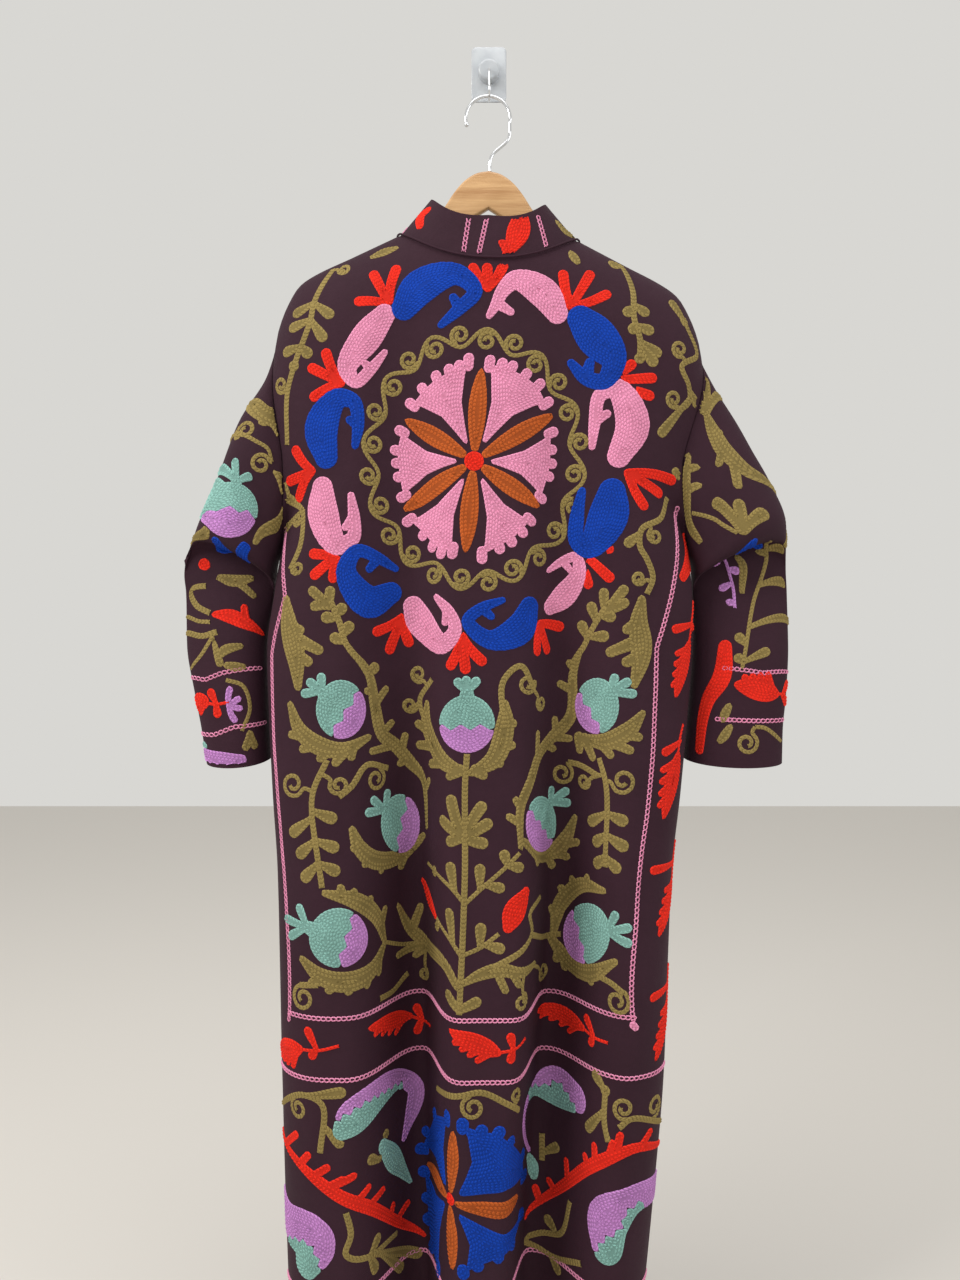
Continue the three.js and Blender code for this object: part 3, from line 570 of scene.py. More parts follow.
def tube(path, radius, sides):
    """A round rod along a path of points, with closed ends."""
    path = np.asarray(path, float)
    forward = np.gradient(path, axis=0)
    forward /= np.linalg.norm(forward, axis=1, keepdims=True)
    side = np.cross(forward[0], [0.0, 1.0, 0.0])
    if np.linalg.norm(side) < 0.1:
        side = np.cross(forward[0], [1.0, 0.0, 0.0])
    rings = []
    for point, ahead in zip(path, forward):
        side = side - ahead * np.dot(side, ahead)
        side /= np.linalg.norm(side)
        other = np.cross(ahead, side)
        turn = np.linspace(0, 2 * math.pi, sides, endpoint=False)[:, None]
        rings.append(point + radius * (np.cos(turn) * side + np.sin(turn) * other))
    points = np.concatenate([np.concatenate(rings), path[[0]], path[[-1]]])
    faces = grid_faces(len(path), sides, True)
    spot = np.arange(sides)
    after = (spot + 1) % sides
    first = np.full(sides, len(points) - 2)
    base = (len(path) - 1) * sides
    start_cap = np.stack([after, spot, first], -1)
    end_cap = np.stack([base + spot, base + after, first + 1], -1)
    return points, faces.tolist() + start_cap.tolist() + end_cap.tolist()


def smooth_curve(points, per_span):
    """A centripetal curve through points, as three.js draws it."""
    points = np.asarray(points, float)
    ends = np.concatenate([[2 * points[0] - points[1]], points, [2 * points[-1] - points[-2]]])
    knots = np.concatenate([[0], np.cumsum(np.linalg.norm(np.diff(ends, axis=0), axis=1) ** 0.5)])
    made = []
    for i in range(1, len(ends) - 2):
        t = np.linspace(knots[i], knots[i + 1], per_span, endpoint=False)[:, None]
        k = knots[i - 1:i + 3]
        p = ends[i - 1:i + 3]
        a = [p[n] + (p[n + 1] - p[n]) * (t - k[n]) / (k[n + 1] - k[n]) for n in range(3)]
        b = [a[n] + (a[n + 1] - a[n]) * (t - k[n]) / (k[n + 2] - k[n]) for n in range(2)]
        made.append(b[0] + (b[1] - b[0]) * (t - k[1]) / (k[2] - k[1]))
    return np.concatenate(made + [points[[-1]]])


# ---- directions through the cloth at its sewn edges ----


NECK_POWERS = {True: (0.5, 4), False: (0.35, 6)}  # of the back and the fronts: level part, then the sides
NECK_LEAN = (0.66, 0.75)  # in and down at the neck's sides
ARMHOLE_POWERS = (0.35, 12)  # level part, and part at the top and the armpit
ARMHOLE_LEAN = 0.6
ARMHOLE_UPRIGHT = 0.98  # past this the direction has no y left


def neck_direction(points, is_back):
    """At the neck seam they lead to the middle of the neck."""
    off = (points[..., 0] - NECK_CENTRE) / NECK_HALF
    s = np.minimum(1, np.abs(off))
    level, at_side = NECK_POWERS[is_back]
    y = (1 - s) ** level * (1 if is_back else -1)
    side = s ** at_side
    return unit(np.stack([-NECK_LEAN[0] * off * side, y, -NECK_LEAN[1] * side], -1))


def armhole_direction(drop_mm, is_back, side):
    """At the armhole they lead to its middle, and at its top a little towards the neck."""
    turn = math.pi * np.minimum(drop_mm, DROPS[ARMPIT_ROW]) / DROPS[ARMPIT_ROW]
    level, at_ends = ARMHOLE_POWERS
    y = np.maximum(np.sin(turn), 0) ** level * (1 if is_back else -1)
    top = np.maximum(0, np.cos(turn)) ** at_ends
    z = -np.sign(np.cos(turn)) * np.abs(np.cos(turn)) ** at_ends
    return unit(np.stack([-side * ARMHOLE_LEAN * top, np.where(np.abs(z) > ARMHOLE_UPRIGHT, 0, y), z], -1))


# ---- the pieces of cloth ----

FINER_ROWS = 6
FINER_COLUMNS = 3
EDGE_BLEND = 5.0  # mm over which an edge's own direction passes into the cloth's
SHOULDER_COLUMNS = 9
NECK_COLUMNS = 16
FRONT_COLUMNS = 7
FRONT_POWER = 1.6  # columns lie closer together by the neck
SLEEVE_STEPS = 16
SLEEVE_FINER = 8
SLEEVE_ROUND = 96
SLEEVE_FLAT = (360.0, 500.0)  # mm round and along, for the weave
SLEEVE_SEAM_GAP = 0.4
COLLAR_ROWS = 12
COLLAR_LEAN = 38.0
COLLAR_LEAN_POWER = 1.6
COLLAR_BACK_LEAN = 8.0
COLLAR_SIDE_DROP = 10.0


def fine(values, times):
    """The same steps with more between them."""
    count = len(values) - 1
    return np.interp(np.linspace(0, count, count * times + 1), np.arange(count + 1), values)


def shoulder_steps():
    return np.linspace(0, 1, SHOULDER_COLUMNS * FINER_COLUMNS + 1)


def back_neck_steps():
    return np.linspace(-NECK_SHARE, NECK_SHARE, NECK_COLUMNS * FINER_COLUMNS + 1)


def front_neck_steps():
    return 1 + np.linspace(0, 1, FRONT_COLUMNS * FINER_COLUMNS + 1)[1:] ** FRONT_POWER


def back_columns():
    shoulder = shoulder_share(shoulder_steps())
    return np.concatenate([-shoulder[:-1], back_neck_steps(), shoulder[:-1][::-1]])


def body_panel(outer, drops, sign, is_back, sides, on_shoulder):
    """The points and directions of a body panel, with its sewn edges drawn half a gap back."""
    inward = square_directions(outer, False) * sign
    gap = -SEAM_HALF_GAP if is_back else SEAM_HALF_GAP
    down = np.broadcast_to(drops[:, None], outer.shape[:2])
    top = np.where(on_shoulder[:, None], np.array([0.0, 0.0, -1.0]), neck_direction(outer[0], is_back))
    inward = unit(mix(inward, top[None], np.clip(1 - down / EDGE_BLEND, 0, 1)[..., None]))
    for column, side in sides:
        beside = np.linalg.norm(outer - outer[:, [column]], axis=2)
        own = np.where(
            (drops <= DROPS[ARMPIT_ROW])[:, None],
            armhole_direction(drops, is_back, side),
            np.array([-side, 0.0, 0.0]),
        )
        inward = unit(mix(inward, own[:, None], np.clip(1 - beside / EDGE_BLEND, 0, 1)[..., None]))
        outer[drops <= DROPS[ARMPIT_ROW], column, 0] -= side * SEAM_HALF_GAP
        outer[drops >= DROPS[ARMPIT_ROW], column, 1] += gap
    outer[0, on_shoulder, 1] += gap
    outer[0, ~on_shoulder, 2] -= SEAM_HALF_GAP
    return outer, inward


def back_panel():
    drops = fine(DROPS, FINER_ROWS)
    across, share = np.meshgrid(back_columns(), drops / DROPS[-1])
    on_shoulder = np.abs(across[0]) >= NECK_SHARE - 1e-6
    outer = back_point(across, share)
    outer, inward = body_panel(outer, drops, 1, True, [(0, -1), (-1, 1)], on_shoulder)
    flat = np.stack([across * BODY["half"].max(), -share * DROPS[-1]], -1)
    return outer, inward, flat


def front_panel(side):
    drops = fine(DROPS, FINER_ROWS)
    columns = np.concatenate([shoulder_steps(), front_neck_steps()])
    inwards, share = np.meshgrid(columns, drops / DROPS[-1])
    outer = front_point(side, inwards, share)
    outer, inward = body_panel(outer, drops, side, False, [(0, side)], inwards[0] <= 1 + 1e-6)
    flat = np.stack([front_across(inwards, share) * BODY["half"].max(), -share * DROPS[-1]], -1)
    return outer, inward, flat


def sleeve_tube(side):
    steps = np.linspace(0, SLEEVE_STEPS, SLEEVE_STEPS * SLEEVE_FINER + 1)
    turns = np.linspace(0, 2 * math.pi, SLEEVE_ROUND, endpoint=False)
    turn, step = np.meshgrid(turns, steps)
    outer = sleeve_point(side, step, turn)
    inward = square_directions(outer, True) * -side
    place = np.mod(turns / (2 * math.pi) * 2 * ARMPIT_ROW, 2 * ARMPIT_ROW)
    on_back = place <= ARMPIT_ROW
    row = np.where(on_back, place, 2 * ARMPIT_ROW - place)
    drop = np.interp(row, np.arange(len(DROPS)), DROPS)
    own = np.where(
        on_back[:, None], armhole_direction(drop, True, side), armhole_direction(drop, False, side)
    )
    share = np.clip(1 - steps, 0, 1)[:, None, None]
    inward = unit(mix(inward, own[None], share))
    outer[0, :, 0] += side * SLEEVE_SEAM_GAP
    flat = np.stack([turn / (2 * math.pi) * SLEEVE_FLAT[0], -step / SLEEVE_STEPS * SLEEVE_FLAT[1]], -1)
    return outer, inward, flat


def neck_seam():
    """The neck seam from the left front edge, round the back, to the right front edge."""
    steps = front_neck_steps()
    neck = back_neck_steps()
    left = front_point(-1, steps[::-1], np.zeros(len(steps)))
    behind = back_point(neck, np.zeros(len(neck)))
    right = front_point(1, steps, np.zeros(len(steps)))
    inward = [neck_direction(left, False), neck_direction(behind, True), neck_direction(right, False)]
    return np.concatenate([left, behind, right]), np.concatenate(inward)


def collar_top(points):
    """The stand collar leans in over the neck, most of all at its sides."""
    off = (points[:, 0] - NECK_CENTRE) / NECK_HALF
    s = np.minimum(1, np.abs(off))
    is_back = points[:, 1] < HANGER_Y - 0.01
    lean = -np.sign(off) * COLLAR_LEAN * s ** COLLAR_LEAN_POWER
    back = np.where(is_back, COLLAR_BACK_LEAN * (1 - s), 0)
    return points + np.stack([lean, back, COLLAR_HEIGHT - COLLAR_SIDE_DROP * s], -1)


def collar_grid(seam, rows):
    """The collar's points from its upper edge down to the seam, and how far up each row is."""
    up = 1 - np.linspace(0, 1, rows)[:, None, None]
    return mix(seam[None], collar_top(seam)[None], up), up


def collar_panel():
    seam, seam_inward = neck_seam()
    outer, up = collar_grid(seam, COLLAR_ROWS + 1)
    inward = square_directions(outer, False)
    inward = unit(mix(seam_inward[None], inward, np.clip(up * 2, 0, 1)))
    outer[-1, :, 2] += SEAM_HALF_GAP
    along = np.concatenate([[0], np.cumsum(np.linalg.norm(np.diff(seam, axis=0), axis=1))])
    flat = np.stack(np.broadcast_arrays(along[None], up[..., 0] * COLLAR_HEIGHT), -1)
    return outer, inward, flat


# ---- sheets for the embroidery ----


def body_sheet(columns, top_of, point_of, outward_sign):
    """A sheet in level rows on a body panel, from its columns, its upper edge and its surface."""
    levels = np.append(np.arange(SHEET_TOP_Z, HEM_Z, -SHEET_ROW), HEM_Z)
    across, z = np.meshgrid(columns, levels)
    top_z = top_of(across)
    drop = (z - top_z) / (HEM_Z - top_z)
    return Sheet(point_of(across, np.clip(drop, 0, 1)), -levels, drop >= SHEET_EDGE, outward_sign)


def back_sheet():
    return body_sheet(
        np.linspace(-1, 1, 201),
        lambda across: back_top_z(NECK_CENTRE + across * SHOULDER_OUT),
        back_point,
        -1,
    )


def front_sheet(side):
    return body_sheet(
        np.linspace(0, 2, 101),
        lambda inwards: front_top(side, inwards)[1],
        lambda inwards, drop: front_point(side, inwards, drop),
        -side,
    )


def sleeve_sheet(side):
    turn, step = np.meshgrid(np.linspace(-math.pi, math.pi, 193), np.linspace(0, SLEEVE_STEPS, 161))
    points = sleeve_point(side, step, turn)
    along = np.linalg.norm(np.diff(points, axis=0), axis=2).mean(1)
    return Sheet(points, np.concatenate([[0], np.cumsum(along)]), step >= 0.05, side)


def collar_sheet():
    rows = COLLAR_ROWS + 2
    points, _ = collar_grid(neck_seam()[0], rows)
    there = np.ones(points.shape[:2], bool)
    return Sheet(points, np.linspace(0, COLLAR_HEIGHT, rows), there, -1)


class Spot:
    """Flat mm about a place on a sheet: x runs along its rows, and y is square to them, downwards."""

    def __init__(self, sheet, middle):
        self.middle = middle
        t = np.clip(middle[1], sheet.t[1], sheet.t[-2])
        low, high = sheet.edge(t, 0) + SPOT_MARGIN, sheet.edge(t, 1) - SPOT_MARGIN
        over, down = sheet.slopes(np.clip(middle[0], low, high), t)
        ahead = unit(over)
        across = down @ ahead
        self.to_mm = np.array([[over @ ahead, across], [0, np.linalg.norm(down - across * ahead)]])
        self.to_flat = np.linalg.inv(self.to_mm)

    def here(self, flat):
        return (np.asarray(flat, float) - self.middle) @ self.to_mm.T

    def flat(self, xy):
        return self.middle + np.asarray(xy, float) @ self.to_flat.T


# ---- stitches ----

ROW = 3.1  # mm between rows of chain stitch in a filled shape
COARSE_ROW = 4.2  # and in the olive and rust thread, which is thicker
STITCH = 4.6
RELIEF = (1.1, 1.7)  # crest of a row between and at its stitches
LINE_OVERLAP = 0.5  # rows of a line lie closer than in a filled shape
ROW_WIDTH = 1.25  # of the distance between rows
ROW_EDGE = -0.15  # the sides of a row sink into the cloth
PAD_LIFT = 0.6
PAD_SHADE_MARK = (0.0, 0.05)  # painted shade: the pad shows between rows as dark as the sides of a stitch
CLEAR = 0.3  # mm between shapes of two colours
GRID = 1.15  # mm, for working out rows inside a shape
LOOP = (6.0, 4.1)  # one open loop of the pink border lines
COARSE = {"olive", "rust"}

LOOP_THREAD = 1.9
LOOP_LIFT = 1.1
LOOP_PITCH = 0.92  # of a loop's length, so that each starts inside the last
LOOP_EGG = 0.3  # how much narrower a loop is ahead than behind
LOOP_POINTS = 11
ACROSS = np.array([-1.0, 0.0, 1.0])  # a strip's two sides and its crest
ON_CLOTH = 0.98
STITCH_SHARP = 80  # degrees between faces that stay smooth
HARD_SHARP = 40
PAD_EDGE = 0.3  # mm kept free inside a shape's outline
PAD_SLOPE = 0.5
FAR = 120.0  # mm, past any motif's own edge

# The two edges of a cell that a level crosses, by which of its corners are inside: 1, 2, 4 and 8, round from
# the top left.
CROSSINGS = {
    1: "TL", 2: "TR", 3: "LR", 4: "RB", 5: "TLRB", 6: "TB", 7: "LB", 8: "LB", 9: "TB", 10: "TRLB", 11: "RB",
    12: "LR", 13: "TR", 14: "TL",
}
CELL_EDGES = {"T": (0, 0, 0), "R": (0, 1, 1), "B": (1, 0, 0), "L": (0, 0, 1)}


def contours(depth, level, low):
    """Closed lines, in mm, where a grid of depths crosses a level."""
    high = depth > level
    kind = high[:-1, :-1] * 1 + high[:-1, 1:] * 2 + high[1:, 1:] * 4 + high[1:, :-1] * 8
    links = {}
    for r, c in np.argwhere((kind > 0) & (kind < 15)):
        names = CROSSINGS[int(kind[r, c])]
        for first, second in zip(names[::2], names[1::2]):
            ends = []
            for name in (first, second):
                dr, dc, upright = CELL_EDGES[name]
                ends.append((int(r) + dr, int(c) + dc, upright))
            links.setdefault(ends[0], []).append(ends[1])
            links.setdefault(ends[1], []).append(ends[0])
    lines = []
    while links:
        start = next(iter(links))
        line = [start]
        here = start
        while True:
            nexts = links.get(here)
            if not nexts:
                break
            there = nexts.pop()
            links[there].remove(here)
            if not nexts:
                del links[here]
            if there == start:
                if not links.get(there):
                    links.pop(there, None)
                break
            line.append(there)
            here = there
        spots = []
        for r, c, upright in line:
            r2, c2 = (r + 1, c) if upright else (r, c + 1)
            share = (level - depth[r, c]) / (depth[r2, c2] - depth[r, c])
            spots.append((low[0] + GRID * (c + share * (c2 - c)), low[1] + GRID * (r + share * (r2 - r))))
        lines.append(np.array(spots))
    return lines


def cone_depth(spots, spine):
    """How deep spots lie in a chain of round cones, given as x, y and radius."""
    best = np.full(len(spots), -1e9)
    for a, b in zip(spine[:-1], spine[1:]):
        ahead = b[:2] - a[:2]
        share = np.clip((spots - a[:2]) @ ahead / max(ahead @ ahead, 1e-9), 0, 1)
        away = np.linalg.norm(spots - a[:2] - share[:, None] * ahead, axis=1)
        best = np.maximum(best, mix(a[2], b[2], share) - away)
    return best


def outline_depth(spots, corners):
    """How deep spots lie inside a closed outline."""
    away = np.full(len(spots), 1e9)
    inside = np.zeros(len(spots), bool)
    for a, b in zip(corners, np.roll(corners, -1, 0)):
        ahead = b - a
        share = np.clip((spots - a) @ ahead / max(ahead @ ahead, 1e-9), 0, 1)
        away = np.minimum(away, np.linalg.norm(spots - a - share[:, None] * ahead, axis=1))
        spans = (a[1] > spots[:, 1]) != (b[1] > spots[:, 1])
        rise = b[1] - a[1] if b[1] != a[1] else 1e-9
        inside ^= spans & (spots[:, 0] < a[0] + (spots[:, 1] - a[1]) / rise * ahead[0])
    return np.where(inside, away, -away)


def piece_depth(spots, shape, inside):
    """How deep spots lie in a shape of chains and outlines, kept inside a last outline where there is one."""
    depths = [cone_depth(spots, part) if part.shape[1] == 3 else outline_depth(spots, part) for part in shape]
    depth = np.max(depths, axis=0)
    return depth if inside is None else np.minimum(depth, outline_depth(spots, inside))


def even(path, step, closed):
    """A path with evenly spaced points."""
    if closed:
        path = np.concatenate([path, path[:1]])
    along = np.concatenate([[0], np.cumsum(np.linalg.norm(np.diff(path, axis=0), axis=1))])
    count = max(2, 2 * int(round(along[-1] / step / 2)))
    if along[-1] < step * 1.5:
        return None
    at = np.linspace(0, along[-1], count + 1)
    return np.stack([np.interp(at, along, path[:, 0]), np.interp(at, along, path[:, 1])], -1)


def curve(points, per_span=8):
    """A smooth line through points of two or three columns."""
    points = np.asarray(points, float)
    if len(points) == 2:
        return mix(points[0], points[1], np.linspace(0, 1, per_span + 1)[:, None])
    return smooth_curve(points, per_span)


class Threads:
    """The stitches on one sheet, gathered by colour until they are made into meshes."""

    def __init__(self, sheet, name):
        self.sheet = sheet
        self.name = name
        self.parts = {}
        self.laid = []

    def others(self, spot, colour, spots):
        """How deep spots lie in the shapes of other colours that are already there."""
        flat = spot.flat(spots)
        low, high = flat.min(0), flat.max(0)
        depth = np.full(len(spots), -FAR)
        for piece in self.laid:
            if piece.colour != colour and (piece.low < high).all() and (piece.high > low).all():
                depth = np.maximum(depth, piece_depth(piece.spot.here(flat), piece.shape, piece.inside))
        return depth

    def on(self, flat):
        """Which flat places lie on the cloth, clear of its edges."""
        return self.sheet.sample(self.sheet.there, flat[:, 0], flat[:, 1]) > ON_CLOTH

    def gather(self, colour, spot, xy, lift, faces, marks):
        """Keep some points and faces for a colour's mesh. marks become its UV map."""
        store = self.parts.setdefault(colour, {"flat": [], "lift": [], "faces": [], "marks": [], "count": 0})
        flat = spot.flat(xy.reshape(-1, 2))
        store["flat"].append(flat)
        store["lift"].append(np.broadcast_to(lift, xy.shape[:-1]).reshape(-1))
        store["marks"].append(marks.reshape(-1, 2))
        store["faces"].append(faces + store["count"])
        store["count"] += len(flat)

    def row(self, spot, colour, path, closed=False, lift=0.0):
        """One row of chain stitch: a ridged strip whose crest rises at each stitch."""
        path = even(path, STITCH / 2, closed)
        if path is None:
            return
        width = ROW_WIDTH * (COARSE_ROW if colour in COARSE else ROW)
        ahead = np.gradient(path, axis=0)
        if closed:
            ahead[0] = ahead[-1] = path[1] - path[-2]
        side = left_of(unit(ahead))
        step = np.arange(len(path))
        xy = path[:, None] + ACROSS[None, :, None] * side[:, None] * width / 2
        edge = np.full(len(path), ROW_EDGE)
        lift = lift + np.stack([edge, np.take(RELIEF, step % 2), edge], -1)
        marks = np.stack(np.broadcast_arrays(ACROSS[None], step[:, None] / 2.0), -1)
        self.gather(colour, spot, xy, lift, grid_faces(len(path), 3, False), marks)

    def line(self, spot, colour, path, rows=1):
        """Some rows of chain stitch side by side along a path."""
        pitch = COARSE_ROW if colour in COARSE else ROW
        path = np.asarray(path, float)[:, :2]
        side = left_of(unit(np.gradient(path, axis=0)))
        free = self.others(spot, colour, path) < 0
        for run in np.split(np.arange(len(path)), np.flatnonzero(np.diff(free)) + 1):
            if free[run[0]] and len(run) > 1:
                for k in range(rows):
                    off = side[run] * (k - (rows - 1) / 2) * pitch * LINE_OVERLAP
                    self.row(spot, colour, path[run] + off)

    def fill(self, spot, colour, *shape, lift=0.0, inside=None):
        """A shape filled with rows that follow its outline, over a low pad of the same thread."""
        pitch = COARSE_ROW if colour in COARSE else ROW
        corners = np.concatenate([
            part[:, :2] + sign * part[:, 2:].max(initial=0) for part in shape for sign in (-1, 1)
        ])
        if not self.on(spot.flat(corners)).any():
            return
        low = corners.min(0) - 2 * GRID
        columns, rows = ((corners.max(0) + 2 * GRID - low) / GRID).astype(int) + 2
        x, y = np.meshgrid(low[0] + GRID * np.arange(columns), low[1] + GRID * np.arange(rows))
        spots = np.stack([x, y], -1)
        depth = piece_depth(spots.reshape(-1, 2), shape, inside)
        depth = np.minimum(depth, -CLEAR - self.others(spot, colour, spots.reshape(-1, 2)))
        depth = depth.reshape(rows, columns)
        box = spot.flat(spots[[0, 0, -1, -1], [0, -1, 0, -1]])
        self.laid.append(types.SimpleNamespace(
            colour=colour, spot=spot, shape=shape, inside=inside, low=box.min(0), high=box.max(0)
        ))
        level = pitch / 2
        while level < depth.max():
            for path in contours(depth, level, low):
                self.row(spot, colour, path, closed=True, lift=lift)
            level += pitch
        coarse = depth[::2, ::2]
        keep = (coarse > PAD_EDGE).reshape(-1)
        faces = grid_faces(*coarse.shape, False)
        faces = faces[keep[faces].all(1)]
        if len(faces):
            # the pad takes the thread's painted shade, dark in the gaps between rows
            marks = np.broadcast_to(PAD_SHADE_MARK, (*coarse.shape, 2))
            pad = lift + np.clip(coarse * PAD_SLOPE, 0, PAD_LIFT)
            self.gather(colour, spot, spots[::2, ::2], pad, faces, marks)

    def loops(self, spot, colour, path):
        """A single line of open chain loops, each an oval of thread round bare cloth."""
        path = even(path, LOOP[0] * LOOP_PITCH, False)
        if path is None:
            return
        turn = np.linspace(0, 2 * math.pi, LOOP_POINTS)
        lift = np.tile([ROW_EDGE, LOOP_LIFT, ROW_EDGE], (len(turn), 1))
        marks = np.stack(np.broadcast_arrays(ACROSS[None], turn[:, None]), -1)
        for a, b in zip(path[:-1], path[1:]):
            ahead = unit(b - a)
            middle = (a + b) / 2
            egg = np.sin(turn) * (1 - LOOP_EGG * np.cos(turn))
            ring = middle + LOOP[0] / 2 * np.cos(turn)[:, None] * ahead
            ring = ring + LOOP[1] / 2 * egg[:, None] * left_of(ahead)
            reach = unit(ring - middle)
            xy = ring[:, None] + ACROSS[None, :, None] * reach[:, None] * LOOP_THREAD / 2
            self.gather(colour, spot, xy, lift, grid_faces(len(turn), 3, False), marks)

    def make(self, materials):
        """One object for each colour, without the stitches that would lie off the cloth."""
        made = []
        for colour, store in self.parts.items():
            flat = np.concatenate(store["flat"])
            lift = np.concatenate(store["lift"])
            marks = np.concatenate(store["marks"])
            faces = np.concatenate(store["faces"])
            faces = faces[self.on(flat)[faces].all(1)]
            if not len(faces):
                continue
            used, faces = np.unique(faces, return_inverse=True)
            faces = faces.reshape(-1, 4)
            points = self.sheet.place(flat[used, 0], flat[used, 1], lift[used])
            outward = self.sheet.sample(self.sheet.normals, flat[used, 0], flat[used, 1])
            corners = points[faces]
            square = np.cross(corners[:, 2] - corners[:, 0], corners[:, 3] - corners[:, 1])
            turned = np.sum(square * outward[faces[:, 0]], axis=1) < 0
            faces[turned] = faces[turned][:, ::-1]
            name = self.name + "_" + colour
            made.append(make_object(name, points, faces, materials[colour], marks[used], STITCH_SHARP))
        return made


# ---- motifs, each drawn from a few places that the photograph shows ----

PX = 1.13  # mm on the cloth for each pixel of the photograph
PAISLEY_RADII = (0.68, 1.0, 0.62, 0.42, 0.36, 0.2)  # of the belly's half width, from head to tip
FINGER_ROOT = 0.8  # of a finger's half width
SPIRAL_TURNS = 1.45
SPIRAL_EYE = 0.25  # of a spiral's radius, where its line stops
FAN_WAIST = ((0.25, 0.4), (0.5, 0.36), (0.78, 0.12))  # how far along a fan's side, and how far drawn in
ZIGZAG = 7.0  # mm, teeth where mint meets lilac
WING_RADII = (0.3, 0.7, 0.75, 0.45, 0.14)
LEAF_LEAN = 0.8  # how far back a leaf's root is, for its tip's distance from the stem
LOBE_TIP = 3.6  # pixels, the least half width of a lobe's tip
LEAF_ROOT = 0.5  # of its half width
LEAF_REACH = 0.94  # of its length, where its last circle stands
LEAF_SWELL = 0.85  # below 1 a leaf is widest past its middle
LEAF_END = 0.3  # of its half width
BLADE_END = 0.16
BLADE_SIDE_LEAF = 0.42
SPINDLE_POWERS = (1.15, 0.8)  # where a spindle is widest, and how full it is
SPINDLE_END = 0.5  # mm
FAN_ROOT = 0.14  # of its length, from the flower's middle
FAN_INSET = 0.1  # of its length, from its lobes' tips
LOBE_START = 0.86
FRUIT_POINTS = 25
FRUIT_TEETH = np.linspace(-0.25, 1.25, 10)  # along the line where mint meets lilac
CROWN_LEAF = (3.0, 4.4)  # pixels, half widths at root and tip
CROWN_NECK = (6.0, 9.0)
CROWN_DEPTH = 0.35  # how far the neck goes in to the fruit's middle
CROWN_LIFT = 0.3  # mm
WING_STEPS = np.array([[0], [0.22], [0.5], [0.8], [0.97]])
FEATHER_STEPS = (0.0, 0.22, 0.44, 0.66)
WING_LEAF = (2.4, 4.4)  # pixels, half widths at root and tip


COLUMNS = {
    "flower": "colour middle dot spindles half lobe fans",
    "paisley": "colour belly spine hook",
    "sprig": "colour half base tips",
    "branch": "colour half rows stem tips spirals",
    "pomegranate": "box neck crown split",
    "acanthus": "colour half spine lobes",
    "blade": "colour half widest narrowing spine side_leaves",
    "wing": "half side tip neck end leaves",
    "pair": "belly radii spine split rest",
    "loops": "line",
    "level_border": "t from_px to_px",
}


def places(text):
    """Pixels written as x,y pairs."""
    return [tuple(float(part) for part in pair.split(",")) for pair in text.split()]


def records(kind, *rows):
    """Rows for one kind of motif, one record each. Text with a comma is a list of pixels."""
    names = COLUMNS[kind].split()
    made = []
    for row in rows:
        values = [places(v) if isinstance(v, str) and ("," in v or not v) else v for v in row]
        made.append(types.SimpleNamespace(**dict(zip(names, values))))
    return made


def motif_set(**tables):
    """The records of several kinds of motif, under their names."""
    return {kind: records(kind, *rows) for kind, rows in tables.items()}


def club(a, b, root, tip, bend=0.0):
    """A finger or petal: circles from a that grow to a round tip that ends at b."""
    share = np.linspace(0, 1, 6)[:, None]
    ahead = (b - a) * max(0.05, 1 - tip / max(np.linalg.norm(b - a), 1e-6))
    middle = a + share * ahead + bend * np.sin(share * math.pi) * left_of(ahead)
    return np.concatenate([middle, mix(root, tip, smooth(share))], 1)


def leaf_shape(a, b, half):
    """A straight leaf from a to b, widest past its middle and blunt at its tip."""
    share = np.linspace(0, 1, 7)[:, None]
    ahead = b - a
    middle = a + share * ahead * LEAF_REACH
    swell = np.sin(math.pi * share ** LEAF_SWELL)
    return np.concatenate([middle, half * mix(LEAF_END, 1, swell)], 1)


def chain(points, radii):
    """Circles on a smooth line through places, with a radius at each."""
    return curve(np.column_stack([points, radii]), 5)


def taper(points, half, ends=0.35):
    """The same with radii that swell to a half width between narrow ends."""
    share = np.linspace(0, 1, len(points))
    return chain(points, half * (ends + (1 - ends) * np.sin(math.pi * share)))


def coil(centre, radius, start, hand=1):
    """A line that curls inwards about a centre from the place where it starts."""
    share = np.linspace(0, 1, 24)
    first = math.atan2(start[1] - centre[1], start[0] - centre[0])
    angle = first + hand * share * SPIRAL_TURNS * 2 * math.pi
    reach = radius * (1 - (1 - SPIRAL_EYE) * share)
    return centre + reach[:, None] * np.stack([np.cos(angle), np.sin(angle)], -1)


def leaning_root(path, tip):
    """The place on a stem from which a leaf leans forward to its tip."""
    at = nearest(path, tip)
    along = np.concatenate([[0], np.cumsum(np.linalg.norm(np.diff(path[:, :2], axis=0), axis=1))])
    back = along[at] - LEAF_LEAN * np.linalg.norm(path[at, :2] - tip)
    return path[min(np.searchsorted(along, max(back, 0.0)), at), :2]


def zigzag(line):
    """Teeth on both sides of a line."""
    path = even(curve(line), ZIGZAG, False)
    side = left_of(unit(np.gradient(path, axis=0)))
    teeth = np.where(np.arange(len(path)) % 2, 0.5, -0.5)
    return path + side * teeth[:, None] * ZIGZAG


def nearest(path, place):
    return int(np.argmin(np.linalg.norm(path[:, :2] - place, axis=1)))


